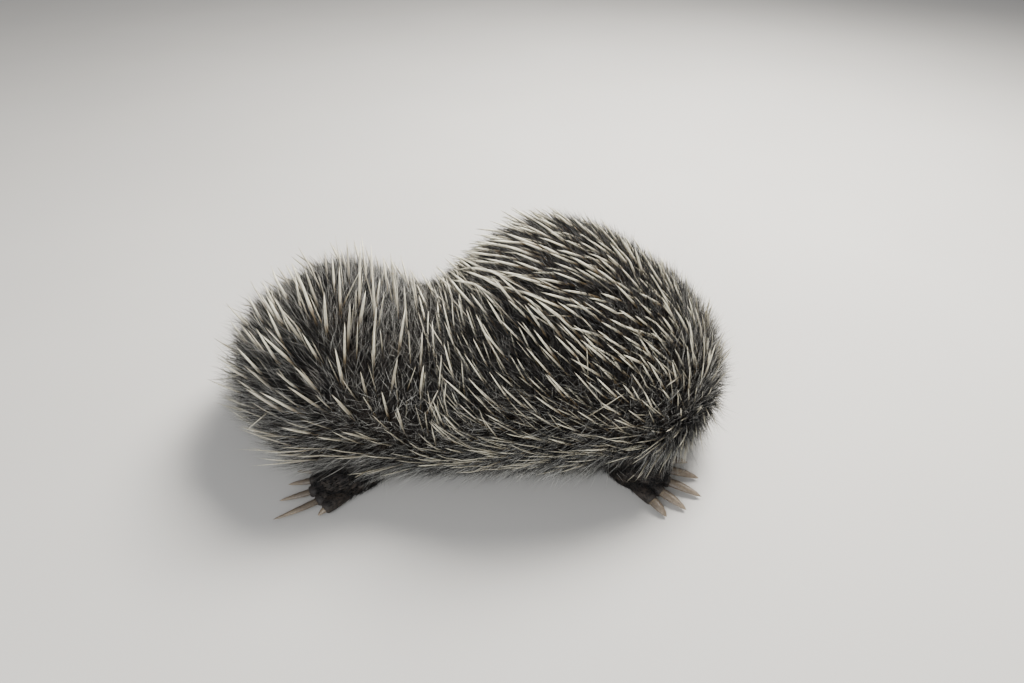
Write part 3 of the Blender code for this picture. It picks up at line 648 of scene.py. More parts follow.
def blend_colours(tree, factor, first, second, kind="MIX"):
    """A mix of two colours, each a colour or a socket."""
    node = add_node(tree, "ShaderNodeMix", data_type="RGBA", blend_type=kind)
    sockets = {"A": 6, "B": 7}
    for value, index in ((first, sockets["A"]), (second, sockets["B"])):
        if isinstance(value, bpy.types.NodeSocket):
            tree.links.new(value, node.inputs[index])
        else:
            node.inputs[index].default_value = (*value[:3], 1)
    if isinstance(factor, bpy.types.NodeSocket):
        tree.links.new(factor, node.inputs[0])
    else:
        node.inputs[0].default_value = factor
    return node.outputs[2]


def colour_steps(tree, factor, steps):
    """Colours along a number, given as pairs of its value and the colour there."""
    node = tree.nodes.new("ShaderNodeValToRGB")
    ramp = node.color_ramp
    while len(ramp.elements) < len(steps):
        ramp.elements.new(0.5)
    for element, (position, colour) in zip(ramp.elements, steps):
        element.position = position
        element.color = (*colour[:3], 1)
    tree.links.new(factor, node.inputs["Fac"])
    return node.outputs["Color"]


def number_steps(tree, factor, low, high, first=0.0, second=1.0):
    """A number that goes from first to second as the factor goes from low to high."""
    node = add_node(tree, "ShaderNodeMapRange", interpolation_type="SMOOTHSTEP")
    for name, value in (("From Min", low), ("From Max", high), ("To Min", first), ("To Max", second)):
        node.inputs[name].default_value = value
    tree.links.new(factor, node.inputs["Value"])
    return node.outputs["Result"]


def grain(tree, scale, detail=4.0, roughness=0.6, stretch=(1, 1, 1)):
    """Fine noise in the object's own coordinates."""
    coordinates = tree.nodes.new("ShaderNodeTexCoord")
    mapping = add_node(tree, "ShaderNodeMapping", Scale=stretch)
    noise = add_node(tree, "ShaderNodeTexNoise", Scale=scale, Detail=detail, Roughness=roughness)
    tree.links.new(coordinates.outputs["Object"], mapping.inputs["Vector"])
    tree.links.new(mapping.outputs["Vector"], noise.inputs["Vector"])
    return noise.outputs["Fac"]


def relief(tree, shader, height, strength, distance):
    """A bump from a height, into the shader's normal."""
    node = add_node(tree, "ShaderNodeBump", Strength=strength, Distance=distance)
    tree.links.new(height, node.inputs["Height"])
    tree.links.new(node.outputs["Normal"], shader.inputs["Normal"])
    return node


def dust_group():
    """Sandy dust in soft patches and specks: a colour in, and the dusted colour and its mask out."""
    found = bpy.data.node_groups.get("Sandy dust")
    if found:
        return found
    tree = bpy.data.node_groups.new("Sandy dust", "ShaderNodeTree")
    face = tree.interface
    face.new_socket("Color", in_out="INPUT", socket_type="NodeSocketColor")
    face.new_socket("Dust", in_out="INPUT", socket_type="NodeSocketColor")
    face.new_socket("Amount", in_out="INPUT", socket_type="NodeSocketFloat")
    face.new_socket("Patch scale", in_out="INPUT", socket_type="NodeSocketFloat")
    face.new_socket("Color", in_out="OUTPUT", socket_type="NodeSocketColor")
    face.new_socket("Mask", in_out="OUTPUT", socket_type="NodeSocketFloat")
    entry = tree.nodes.new("NodeGroupInput")
    leave = tree.nodes.new("NodeGroupOutput")
    coordinates = tree.nodes.new("ShaderNodeTexCoord")
    patches = add_node(tree, "ShaderNodeTexNoise", Detail=5.0, Roughness=0.65)
    specks = add_node(tree, "ShaderNodeTexNoise", Scale=1400.0, Detail=2.0)
    for noise in (patches, specks):
        tree.links.new(coordinates.outputs["Object"], noise.inputs["Vector"])
    tree.links.new(entry.outputs["Patch scale"], patches.inputs["Scale"])
    soft = number_steps(tree, patches.outputs["Fac"], 0.38, 0.72)
    fine = number_steps(tree, specks.outputs["Fac"], 0.42, 0.62)
    both = add_node(tree, "ShaderNodeMath", operation="MULTIPLY")
    tree.links.new(soft, both.inputs[0])
    tree.links.new(fine, both.inputs[1])
    scaled = add_node(tree, "ShaderNodeMath", operation="MULTIPLY")
    tree.links.new(both.outputs["Value"], scaled.inputs[0])
    tree.links.new(entry.outputs["Amount"], scaled.inputs[1])
    dusted = blend_colours(tree, scaled.outputs["Value"], entry.outputs["Color"], entry.outputs["Dust"])
    tree.links.new(dusted, leave.inputs["Color"])
    tree.links.new(scaled.outputs["Value"], leave.inputs["Mask"])
    return tree


def dusted(tree, colour, dust, amount, patch_scale=38.0):
    """A colour with the dust group laid over it."""
    node = tree.nodes.new("ShaderNodeGroup")
    node.node_tree = dust_group()
    node.inputs["Dust"].default_value = (*dust, 1)
    node.inputs["Amount"].default_value = amount
    node.inputs["Patch scale"].default_value = patch_scale
    tree.links.new(colour, node.inputs["Color"])
    return node.outputs["Color"]


def skin_material(colours):
    """Dark, finely creased skin, bare and leathery where the mesh says so."""
    made, tree, shader = new_material("skin", 0.62)
    shader.inputs["Specular IOR Level"].default_value = 0.34
    bare = read_values(tree, "bare")
    mottle = grain(tree, 170.0, 5.0)
    furred = colour_steps(
        tree, mottle, ((0.30, [c * 0.6 for c in colours.skin]), (0.72, [c * 1.5 for c in colours.skin]))
    )
    leather = colour_steps(
        tree, mottle, ((0.28, [c * 0.62 for c in colours.beak]), (0.75, [c * 1.55 for c in colours.beak]))
    )
    colour = blend_colours(tree, bare, furred, leather)
    tree.links.new(dusted(tree, colour, colours.dust, 0.14, 60.0), shader.inputs["Base Color"])
    tree.links.new(number_steps(tree, mottle, 0.3, 0.7, 0.48, 0.70), shader.inputs["Roughness"])
    coordinates = tree.nodes.new("ShaderNodeTexCoord")
    cells = add_node(tree, "ShaderNodeTexVoronoi", feature="DISTANCE_TO_EDGE", Scale=1250.0)
    tree.links.new(coordinates.outputs["Object"], cells.inputs["Vector"])
    creases = number_steps(tree, cells.outputs["Distance"], 0.0, 0.20)
    height = add_node(tree, "ShaderNodeMath", operation="MULTIPLY_ADD")
    height.inputs[1].default_value = 0.7
    tree.links.new(creases, height.inputs[0])
    tree.links.new(mottle, height.inputs[2])
    relief(tree, shader, height.outputs["Value"], 0.42, 0.0003)
    return made


def spine_material(colours):
    """Cream horn, browner at the root, with fine streaks, a soft shine and some tan spines, and greyer where the tone
    carries painted shade.
    """
    made, tree, shader = new_material("spine_horn", 0.36)
    along = read_values(tree, "along")
    tone = read_values(tree, "tone")
    root = colours.spine_root
    horn = colours.spine
    pale = [min(c * 1.06 + 0.03, 1) for c in horn]
    colour = colour_steps(
        tree, along, ((0.0, [c * 0.4 for c in root]), (0.26, root), (0.46, horn), (0.80, pale), (1.0, horn))
    )
    grey = [c * 0.5 for c in horn]
    # A darker grey-tan that the tone blends in: a random tan on some spines, and painted shade on the rump and
    # flanks.
    tan_and_painted_shade = colour_steps(tree, along, ((0.0, [c * 0.3 for c in root]), (0.45, [c * 0.7 for c in grey]), (1.0, grey)))
    tinted = blend_colours(tree, number_steps(tree, tone, 0.30, 1.05, 0.0, 0.95), colour, tan_and_painted_shade)
    streaks = grain(tree, 900.0, 3.0)
    shaded = blend_colours(tree, number_steps(tree, streaks, 0.40, 0.70, 0.0, 0.45), tinted, [c * 0.85 for c in root])
    tree.links.new(dusted(tree, shaded, colours.dust, 0.30), shader.inputs["Base Color"])
    tree.links.new(number_steps(tree, streaks, 0.3, 0.7, 0.30, 0.50), shader.inputs["Roughness"])
    relief(tree, shader, streaks, 0.25, 0.0002)
    return made


def hair_material(name, base, lift, shine, colours, dust_amount):
    """Hair that is darker at its root and varies from tuft to tuft, a few of them far paler."""
    made, tree, shader = new_material(name, shine)
    shader.inputs["Specular IOR Level"].default_value = 0.32
    along = read_values(tree, "along")
    tone = read_values(tree, "tone")
    steps = ((0.0, 0.75), (0.50, 1.0), (0.80, 1.7), (1.0, 1.0 + lift * 2.2))
    tips = colour_steps(tree, tone, [(at, [min(c * k, 1) for c in base]) for at, k in steps])
    shaded = blend_colours(tree, number_steps(tree, along, 0.0, 0.55, 0.65, 0.0), tips, [c * 0.35 for c in base])
    tree.links.new(dusted(tree, shaded, colours.dust, dust_amount), shader.inputs["Base Color"])
    tree.links.new(number_steps(tree, tone, 0.0, 1.0, shine - 0.08, shine + 0.14), shader.inputs["Roughness"])
    return made


def claw_material(colours):
    """Worn horn with fine grooves along the claw, paler towards its end."""
    made, tree, shader = new_material("claw_horn", 0.40)
    along = read_values(tree, "along")
    horn = colours.claw
    colour = colour_steps(
        tree, along, ((0.0, [c * 0.42 for c in horn]), (0.45, horn), (1.0, [min(c * 2.0, 1) for c in horn]))
    )
    streaks = grain(tree, 620.0, 4.0)
    shaded = blend_colours(tree, number_steps(tree, streaks, 0.40, 0.70, 0.0, 0.5), colour, [c * 0.45 for c in horn])
    tree.links.new(dusted(tree, shaded, colours.dust, 0.45, 90.0), shader.inputs["Base Color"])
    tree.links.new(number_steps(tree, streaks, 0.3, 0.7, 0.34, 0.58), shader.inputs["Roughness"])
    relief(tree, shader, streaks, 0.4, 0.0003)
    return made


def eye_material(colours):
    """A wet, almost black eye with a dark brown iris."""
    made, tree, shader = new_material("eye", 0.05)
    gaze = read_values(tree, "gaze")
    iris = [c * 2.4 for c in colours.eye]
    colour = colour_steps(
        tree, gaze, ((0.60, colours.eye), (0.70, iris), (0.88, iris), (0.92, [c * 0.4 for c in colours.eye]))
    )
    tree.links.new(colour, shader.inputs["Base Color"])
    shader.inputs["Specular IOR Level"].default_value = 0.42
    haze = grain(tree, 500.0, 2.0)
    tree.links.new(number_steps(tree, haze, 0.3, 0.7, 0.03, 0.07), shader.inputs["Roughness"])
    return made


def floor_material(colours):
    """A plain, pale, matt floor."""
    made, tree, shader = new_material("floor", 0.85)
    tone = grain(tree, 3.0, 2.0)
    colour = colour_steps(
        tree, tone, ((0.3, [c * 0.97 for c in colours.floor]), (0.7, [min(c * 1.03, 1) for c in colours.floor]))
    )
    tree.links.new(colour, shader.inputs["Base Color"])
    return made


# The coat


class Scatter:
    """Roots drawn evenly over the skin of one part, with what the coat needs to know at each."""

    COLUMNS = ("points", "normals", "along", "angle", "uv", "lie")

    def __init__(self, tree, place, lie, part, count, rng, weight=None, reach=0.0035):
        along, angle = self.draw(place, count, rng, weight)
        wanted = place(along, angle)
        kept, points, normals = [], [], []
        for i, p in enumerate(wanted):
            spot, normal, _, _ = tree.find_nearest(p, reach)
            if spot is not None:
                kept.append(i)
                points.append(spot)
                normals.append(normal)
        self.points = np.array(points).reshape(-1, 3)
        self.normals = np.array(normals).reshape(-1, 3)
        self.along = along[kept]
        self.angle = angle[kept]
        (left, low), (width, height) = TILES[part]
        self.uv = rows(left + width * self.along, low + height * (self.angle / (2 * np.pi) + 0.5))
        self.lie = lie(self.points, self.normals, self.along)
        under = (self.normals[:, 2] < -0.5) & (self.points[:, 2] < 0.004)
        self.keep(~under)

    @staticmethod
    def draw(place, count, rng, weight):
        """Shares along and angles round a shape, drawn evenly by its area and the weight."""
        rings, turns = 160, 120
        a = np.linspace(0, 1, rings + 1)
        b = np.linspace(-np.pi, np.pi, turns + 1)
        grid = place(np.repeat(a, turns + 1), np.tile(b, rings + 1)).reshape(rings + 1, turns + 1, 3)
        first = grid[1:, 1:] - grid[:-1, :-1]
        second = grid[1:, :-1] - grid[:-1, 1:]
        area = np.linalg.norm(np.cross(first, second), axis=2)
        if weight is not None:
            middle = (grid[1:, 1:] + grid[:-1, :-1]) / 2
            area = area * weight(middle.reshape(-1, 3)).reshape(area.shape)
        share = np.cumsum(area.ravel())
        cell = np.searchsorted(share, rng.random(count) * share[-1])
        row, column = np.divmod(cell, turns)
        along = (row + rng.random(count)) / rings
        angle = -np.pi + (column + rng.random(count)) * 2 * np.pi / turns
        return along, angle

    def keep(self, mask):
        """Leaves out the roots that the mask says no to."""
        for name in self.COLUMNS:
            setattr(self, name, getattr(self, name)[mask])

    def subset(self, mask):
        """The roots that the mask says yes to, as a copy."""
        part = copy.copy(self)
        part.keep(mask)
        return part

    def join(self, *others):
        """Takes up the roots of other scatters."""
        for name in self.COLUMNS:
            setattr(self, name, np.concatenate([getattr(each, name) for each in (self, *others)]))
        return self

    def thin_out(self, spacing):
        """Leaves out roots that are nearer to an earlier one than the spacing at each."""
        taken = np.empty((0, 3))
        mask = np.zeros(len(self.points), bool)
        for i, p in enumerate(self.points):
            if len(taken) and np.min(np.sum((taken - p) ** 2, axis=1)) < spacing[i] ** 2:
                continue
            taken = np.vstack((taken, p))
            mask[i] = True
        self.keep(mask)


def turned(lie, normals, angles):
    """Directions in the surface, each turned about its normal."""
    side = np.cross(normals, lie)
    return lie * np.cos(angles)[:, None] + side * np.sin(angles)[:, None]


def strands(name, roots, lie, normals, lengths, radii, tilts, stops, profile, flatten, sides, uv, tone):
    """Many tapered strands as one mesh, with a closed root and a pointed tip.

    The tilts off the skin, one row for each strand, and the stops along its length have one more
    value than the profile of its radius.
    """
    count, rings = len(roots), len(profile)
    stops = np.asarray(stops)
    middles = np.empty((count, rings + 1, 3))
    ways = lie[:, None, :] * np.cos(tilts)[:, :, None] + normals[:, None, :] * np.sin(tilts)[:, :, None]
    middles[:, 0] = roots + ways[:, 0] * (lengths * stops[0])[:, None]
    for k in range(rings):
        step = lengths * (stops[k + 1] - stops[k])
        middles[:, k + 1] = middles[:, k] + ways[:, k] * step[:, None]
    middles[:, 1:, 2] = np.maximum(middles[:, 1:, 2], 0.0012)
    across = unit(np.cross(normals[:, None, :], ways[:, :rings]))
    above = np.cross(ways[:, :rings], across)
    turn = np.arange(sides) * 2 * np.pi / sides
    width = radii[:, None] * np.asarray(profile)[None, :]
    ring = (
        across[:, :, None, :] * np.cos(turn)[None, None, :, None]
        + above[:, :, None, :] * (np.sin(turn) * flatten)[None, None, :, None]
    )
    body = middles[:, :rings, None, :] + ring * width[:, :, None, None]
    body[:, 1:, :, 2] = np.maximum(body[:, 1:, :, 2], 0.0004)
    points = np.concatenate((body.reshape(count, rings * sides, 3), middles[:, rings:]), axis=1)

    faces = [list(range(sides))[::-1]]
    for k in range(rings - 1):
        for i in range(sides):
            j = (i + 1) % sides
            faces.append([k * sides + i, k * sides + j, (k + 1) * sides + j, (k + 1) * sides + i])
    last = (rings - 1) * sides
    faces += [[last + i, last + (i + 1) % sides, rings * sides] for i in range(sides)]
    corners = np.array([v for face in faces for v in face])
    sizes = np.array([len(face) for face in faces])
    per_strand = rings * sides + 1

    mesh = bpy.data.meshes.new(name)
    mesh.vertices.add(count * per_strand)
    mesh.vertices.foreach_set("co", points.astype(np.float32).ravel())
    index = (np.arange(count)[:, None] * per_strand + corners[None, :]).ravel()
    mesh.loops.add(len(index))
    mesh.loops.foreach_set("vertex_index", index.astype(np.int32))
    starts = np.concatenate(([0], np.cumsum(np.tile(sizes, count))[:-1]))
    mesh.polygons.add(len(starts))
    mesh.polygons.foreach_set("loop_start", starts.astype(np.int32))
    mesh.polygons.foreach_set("use_smooth", np.ones(len(starts), bool))
    mesh.update(calc_edges=True)

    along = np.append(np.repeat(stops[:rings], sides), stops[rings])
    piece = bpy.data.objects.new(name, mesh)
    bpy.context.scene.collection.objects.link(piece)
    add_values(piece, "along", np.tile(np.clip(along, 0, 1), count))
    add_values(piece, "tone", np.repeat(tone, per_strand))
    around = np.append(np.tile(np.arange(sides) / sides, rings), 0.5)
    patch = np.stack((around - 0.5, np.clip(along, 0, 1) - 0.5), axis=1) * PATCH
    spread = (uv[:, None, :] + patch[None, :, :]).reshape(-1, 2)[index]
    layer = mesh.uv_layers.new(name="OFBake")
    layer.data.foreach_set("uv", spread.astype(np.float32).ravel())
    return piece


def trunk_turn(points):
    """The angle round the trunk of points near it, 0 on top and growing over the right flank."""
    across, middle, _, _ = trunk_section(points[:, 0])
    return np.degrees(np.arctan2(across - points[:, 1], points[:, 2] - middle))


def trunk_lie(points, normals, _along=None):
    """The way the coat points on the trunk, from the table of its headings, and up and outward over the chest."""
    turn = trunk_turn(points)
    by_row = np.array([np.interp(points[:, 0], COAT_X, row) for row in COAT_HEADINGS])
    place = np.interp(turn, COAT_TURNS, np.arange(len(COAT_TURNS)))
    row = np.minimum(place.astype(int), len(COAT_TURNS) - 2)
    column = np.arange(len(points))
    share = place - row
    heading = np.radians(by_row[row, column] * (1 - share) + by_row[row + 1, column] * share)
    turn = np.radians(turn)
    over = rows(0.0, np.cos(turn), np.sin(turn))
    lie = rows(-np.cos(heading), 0.0, 0.0) + over * np.sin(heading)[:, None]
    front = rise(points[:, 0], 0.120, 0.158)[:, None]
    low = 1 - rise(points[:, 2], 0.020, 0.062)
    outward = 2 * rise(points[:, 1], 0.005, 0.035) - 1
    lie = lie * (1 - front) + rows(-0.35, 0.9 * low * outward, 1 - low) * front
    return along_surface(lie, normals)


def head_lie(_points, normals, along):
    """On the head the coat points back, away from the beak."""
    s, _ = head_param(along, np.zeros(len(along)))
    _, forward, _, up, _, _ = head_frame(s)
    return along_surface(-forward - 0.15 * up, normals)


def straight_lie(way):
    """A coat that points one way all over a part."""
    way = np.array(way)
    return lambda points, normals, along: along_surface(np.tile(way, (len(points), 1)), normals)


def skin_tree():
    """The skin, ready to be searched for its nearest point."""
    skin = bpy.data.objects.get("skin")
    if skin is None:
        raise RuntimeError("the skin is made before the coat")
    graph = bpy.context.evaluated_depsgraph_get()
    return BVHTree.FromObject(skin, graph)


def clumped(points, lie, rng, size, pull):
    """The lies of strands, drawn towards the middle of the clump that each stands in."""
    centres = points[rng.random(len(points)) < 1.0 / size]
    tree = KDTree(len(centres))
    for i, p in enumerate(centres):
        tree.insert(p, i)
    tree.balance()
    nearest = np.array([tree.find(p)[1] for p in points])
    return lie + (centres[nearest] - points) * pull


def face_clear(points, distance):
    """Which points are farther from both eyes than the distance."""
    clear = np.ones(len(points), bool)
    for centre, _ in eye_places():
        clear &= np.linalg.norm(points - centre, axis=1) > distance
    return clear


def fur(name, roots, rng, lengths, widths, tilts, wander, material, paler=0.0):
    """One piece of fur: tufts that rise from the skin and bend over along its lie."""
    count = len(roots.points)
    lie = clumped(roots.points, roots.lie, rng, 9, 45.0)
    lie = along_surface(lie, roots.normals)
    lie = turned(lie, roots.normals, rng.normal(0, 1, count) * wander)
    start, end = tilts
    stops, profile = (-0.06, 0.42, 1.0), (0.85, 0.90)
    bent = np.linspace(0, 1, len(stops))[None, :]
    slopes = np.reshape(start, (-1, 1)) * (1 - bent) + np.reshape(end, (-1, 1)) * bent
    slopes = np.maximum(slopes + rng.normal(0, 0.13, count)[:, None], 0.04)
    tone = np.clip(rng.random(count) + paler, 0, 1)
    piece = strands(
        name, roots.points, lie, roots.normals, lengths, widths / 2, slopes, stops, profile,
        0.7, 3, roots.uv, tone,
    )  # fmt: skip
    finish_piece(piece, material, "coat")
    return piece


# Operators


class ECHIDNA_OT_skin(bpy.types.Operator):
    """Make the one skin of the trunk, tail, legs, neck, head and beak"""

    bl_idname = "echidna.skin"
    bl_label = "Skin"

    def execute(self, context):
        skin = shaped_ball("skin", 120, 104, trunk_place)
        parts = [shaped_ball("tail_skin", 36, 30, tail_place)]
        for name in LIMBS:
            places, _ = limb_parts(name)
            tubes = [
                shaped_ball("leg_skin", 48 if part in ("leg", "foot") else 24, 36, place)
                for part, place in places.items()
            ]
            only(*tubes)
            bpy.ops.object.join()
            limb = tubes[0]
            apply_modifier(limb, "REMESH", mode="VOXEL", voxel_size=0.00095, use_smooth_shade=True)
            apply_modifier(limb, "SMOOTH", factor=0.5, iterations=6)
            parts.append(limb)
        parts.append(shaped_ball("head_skin", 224, 190, head_place))
        group = bpy.data.collections.new("skin_parts")
        for part in parts:
            part.data.attributes.remove(part.data.attributes["along"]) if "along" in part.data.attributes else None
            group.objects.link(part)
        skin.data.attributes.remove(skin.data.attributes["along"])
        apply_modifier(
            skin, "BOOLEAN", operation="UNION", operand_type="COLLECTION", collection=group, solver="MANIFOLD"
        )
        for part in parts:
            data = part.data
            bpy.data.objects.remove(part)
            bpy.data.meshes.remove(data)
        bpy.data.collections.remove(group)
        self.soften_joins(skin)
        points = points_of(skin)
        add_values(skin, "bare", self.bareness(points))
        skin.data.shade_smooth()
        finish_piece(skin, skin_material(context.scene.echidna_colours), "skin", *FLESH_NODES)
        return {"FINISHED"}

    @staticmethod
    def soften_joins(skin):
        """Smooths the skin where the legs, the tail and the neck leave the trunk."""
        points = points_of(skin)
        group = skin.vertex_groups.new(name="joins")
        near = np.zeros(len(points))
        for name in LIMBS:
            places, _ = limb_parts(name)
            leg = places["leg"](np.full(60, 0.5), np.linspace(-np.pi, np.pi, 60))
            middle = leg.mean(axis=0)
            near = np.maximum(near, 1 - rise(np.linalg.norm(points - middle, axis=1), 0.018, 0.034))
        for centre, radius in (((0.105, 0.058, 0.045), 0.060), (tuple(TAIL_ROOT), 0.026)):
            far = np.linalg.norm(points - np.array(centre), axis=1)
            near = np.maximum(near, 1 - rise(far, radius * 0.8, radius))
        near *= points[:, 2] > 0.002
        for i in np.nonzero(near > 0.02)[0]:
            group.add([int(i)], float(near[i]), "REPLACE")
        apply_modifier(skin, "SMOOTH", factor=0.6, iterations=14, vertex_group="joins")

    @staticmethod
    def bareness(points):
        """1 where the skin is bare: on the beak and round the eyes, and a half near the ends of the toes."""
        s = np.linspace(0.100, BEAK_END, 60)
        centres = head_frame(s)[0]
        tree = KDTree(len(s))
        for i, centre in enumerate(centres):
            tree.insert(centre, i)
        tree.balance()
        bare = np.zeros(len(points))
        near_face = np.linalg.norm(points - centres[30], axis=1) < 0.085
        for i in np.nonzero(near_face)[0]:
            _, k, distance = tree.find(points[i])
            if distance < 0.028:
                bare[i] = rise(s[k], FACE_END - 0.004, FACE_END + 0.005)
        for centre, _ in eye_places():
            bare = np.maximum(bare, 1 - rise(np.linalg.norm(points - centre, axis=1), 0.0055, 0.0085))
        for name in LIMBS:
            _, ends = limb_parts(name)
            for end, _ in ends:
                far = np.linalg.norm(points - np.array(end), axis=1)
                bare = np.maximum(bare, 0.5 * (1 - rise(far, 0.004, 0.010)))
        return bare


class ECHIDNA_OT_eyes(bpy.types.Operator):
    """Make the two small dark eyes"""

    bl_idname = "echidna.eyes"
    bl_label = "Eyes"

    def execute(self, context):
        finish = eye_material(context.scene.echidna_colours)
        for name, (centre, outward) in zip(("left_eye", "right_eye"), eye_places()):
            turn = Vector(outward).to_track_quat("Z", "Y").to_euler()
            bpy.ops.object.select_all(action="DESELECT")
            bpy.ops.mesh.primitive_uv_sphere_add(
                segments=48, ring_count=32, radius=EYE_RADIUS, location=centre, rotation=turn
            )
            eye = bpy.context.object
            bpy.ops.object.transform_apply(location=True, rotation=True, scale=True)
            eye.name = eye.data.name = name + "_ball"
            away = points_of(eye) - centre
            gaze = np.clip(unit(away) @ outward, 0, 1)
            cornea = 1 + 0.045 * rise(gaze, 0.80, 0.97)
            moved = centre + away * cornea[:, None]
            eye.data.vertices.foreach_set("co", moved.astype(np.float32).ravel())
            add_values(eye, "gaze", gaze)
            eye.data.shade_smooth()
            finish_piece(eye, finish, "eye", name)
        return {"FINISHED"}


class ECHIDNA_OT_claws(bpy.types.Operator):
    """Make the twenty claws, one on each toe"""

    bl_idname = "echidna.claws"
    bl_label = "Claws"

    def execute(self, context):
        finish = claw_material(context.scene.echidna_colours)
        for name, (_, _, _, hind) in LIMBS.items():
            _, ends = limb_parts(name)
            lengths = HIND_CLAW_LENGTHS if hind else FORE_CLAW_LENGTHS
            if name.startswith("left") != hind:
                lengths = lengths[::-1]
            for k, ((end, way), length) in enumerate(zip(ends, lengths)):
                node = f"{name.replace('leg', 'claw')}_{k + 1}"
                claw = shaped_ball(node + "_horn", 20, 22, claw_place(end, way, length, hind))
                claw.data.shade_smooth()
                finish_piece(claw, finish, "claw", node)
        return {"FINISHED"}


class ECHIDNA_OT_spines(bpy.types.Operator):
    """Set the spines over the rump, back, neck, crown and tail"""

    bl_idname = "echidna.spines"
    bl_label = "Spines"

    def execute(self, context):
        coat = context.scene.echidna_coat
        finish = spine_material(context.scene.echidna_colours)
        tree = skin_tree()
        rng = np.random.default_rng(SEED)
        self.trunk(coat, finish, tree, rng)
        self.head(coat, finish, tree, rng)
        self.tail(coat, finish, tree, rng)
        return {"FINISHED"}

    @staticmethod
    def grow(name, roots, lengths, radii, tilt, painted_shade, rng, finish, stout=True):
        """One piece of spines, each a slim spindle that is widest in its lower half.

        The painted shade makes spines duller and greyer: shade painted on the rump and the low flanks.
        """
        count = len(roots.points)
        lie = turned(roots.lie, roots.normals, rng.normal(0, 0.11 if stout else 0.16, count))
        raised = np.maximum(tilt + rng.normal(0, 0.08, count), 0.10)
        if stout:
            stops, profile, sides = (-0.06, 0.12, 0.38, 0.74, 1.0), (0.60, 0.88, 1.0, 0.70), 7
        else:
            stops, profile, sides = (-0.06, 0.30, 0.70, 1.0), (0.75, 1.0, 0.62), 5
        bend = rng.normal(-0.06, 0.05, count)[:, None]
        slopes = raised[:, None] + bend * np.linspace(-1, 1, len(stops))[None, :]
        tone = rng.random(count) ** 2 * 0.70 if stout else rng.uniform(0.55, 0.94, count)
        # Painted shade: the tone is raised, which darkens the spines where shade falls on the rump and flanks.
        tone = tone + painted_shade
        piece = strands(
            name, roots.points, lie, roots.normals, lengths, radii, slopes, stops, profile,
            1.0, sides, roots.uv, tone,
        )  # fmt: skip
        finish_piece(piece, finish, "coat")

    def trunk(self, coat, finish, tree, rng):
        """Stout spines over the back and rump, and thin ones between them and down the flanks."""
        roots = Scatter(tree, trunk_place, trunk_lie, "trunk", 30000, rng)
        roots.keep(roots.points[:, 2] > 0.018)
        rump, flank, furry = self.regions(roots.points)
        chance = 1 - 0.88 * flank - 0.55 * furry
        roots.keep(rng.random(len(chance)) < chance)
        rump, flank, furry = self.regions(roots.points)
        crown = rise(roots.points[:, 0], 0.015, 0.055) * rise(roots.points[:, 2], 0.080, 0.110)
        spacing = coat.spine_spacing * (1 + 0.68 * rump + 0.55 * flank + 0.60 * furry + 0.06 * crown)
        roots.thin_out(spacing * rng.uniform(0.85, 1.2, len(rump)))
        rump, flank, furry = self.regions(roots.points)
        count = len(roots.points)
        side = swell(roots.points[:, 2], 0.070, 0.030) * (1 - rump)
        lengths = coat.spine_length * rng.normal(1.0, 0.11, count) * (1 - 0.02 * flank - 0.10 * furry + 0.10 * side + 0.08 * rump)
        thinner = 0.40 * flank + 0.12 * furry + 0.22 * side * (1 - 0.5 * flank) - 0.14 * rump
        radii = coat.spine_radius * rng.uniform(0.75, 1.12, count) * (1 - thinner)
        tilt = 0.30 + 0.18 * rump + self.crest(roots)
        for name, chosen in self.halves(roots):
            part = roots.subset(chosen)
            # Painted shade, strongest on the rump and on the lower sides, which lie in shade.
            painted_shade = (0.56 * rump + 0.28 * np.maximum(side, flank))[chosen]
            self.grow(f"spines_{name}", part, lengths[chosen], radii[chosen], tilt[chosen], painted_shade, rng, finish)
        self.thin_spines(coat, finish, tree, rng)

    def thin_spines(self, coat, finish, tree, rng):
        """Thin spines, of which a few stray across the others."""
        roots = Scatter(tree, trunk_place, trunk_lie, "trunk", 30000, rng)
        roots.keep(roots.points[:, 2] > 0.015)
        rump, flank, furry = self.regions(roots.points)
        crown = rise(roots.points[:, 0], 0.015, 0.055) * rise(roots.points[:, 2], 0.080, 0.110)
        spacing = coat.bristle_spacing * (1 + 0.52 * rump - 0.22 * flank + 0.85 * crown + 0.20 * furry)
        roots.thin_out(spacing * rng.uniform(0.85, 1.25, len(rump)))
        rump, flank, furry = self.regions(roots.points)
        count = len(roots.points)
        stray = rng.random(count) < 0.05 * (1 - flank)
        roots.lie = turned(roots.lie, roots.normals, stray * rng.normal(0, 0.7, count))
        lengths = coat.bristle_length * rng.uniform(0.78, 1.15, count) * (1 + 0.30 * stray + 0.52 * flank)
        radii = coat.bristle_radius * rng.uniform(0.70, 1.20, count)
        tilt = 0.29 + 0.17 * rump - 0.10 * flank + self.crest(roots)
        for name, chosen in self.halves(roots):
            part = roots.subset(chosen)
            # A little painted shade on the thin spines of the rump.
            painted_shade = 0.06 * rump[chosen]
            self.grow(f"thin_{name}", part, lengths[chosen], radii[chosen], tilt[chosen], painted_shade, rng, finish, False)

    @staticmethod
    def crest(roots):
        """How much higher the coat stands on the rump's top and end and on the slope to the shoulders."""
        x, _, z = roots.points.T
        top = rise(roots.normals[:, 2], 0.30, 0.85)
        rump = 1 - rise(x, WAIST_X - 0.020, WAIST_X + 0.010)
        end = (1 - rise(x, -0.152, -0.120)) * rise(z, 0.020, 0.045)
        slope = 0.26 * top * swell(x, 0.030, 0.034)
        return np.maximum(0.30 * top * rump, 0.34 * end) + slope

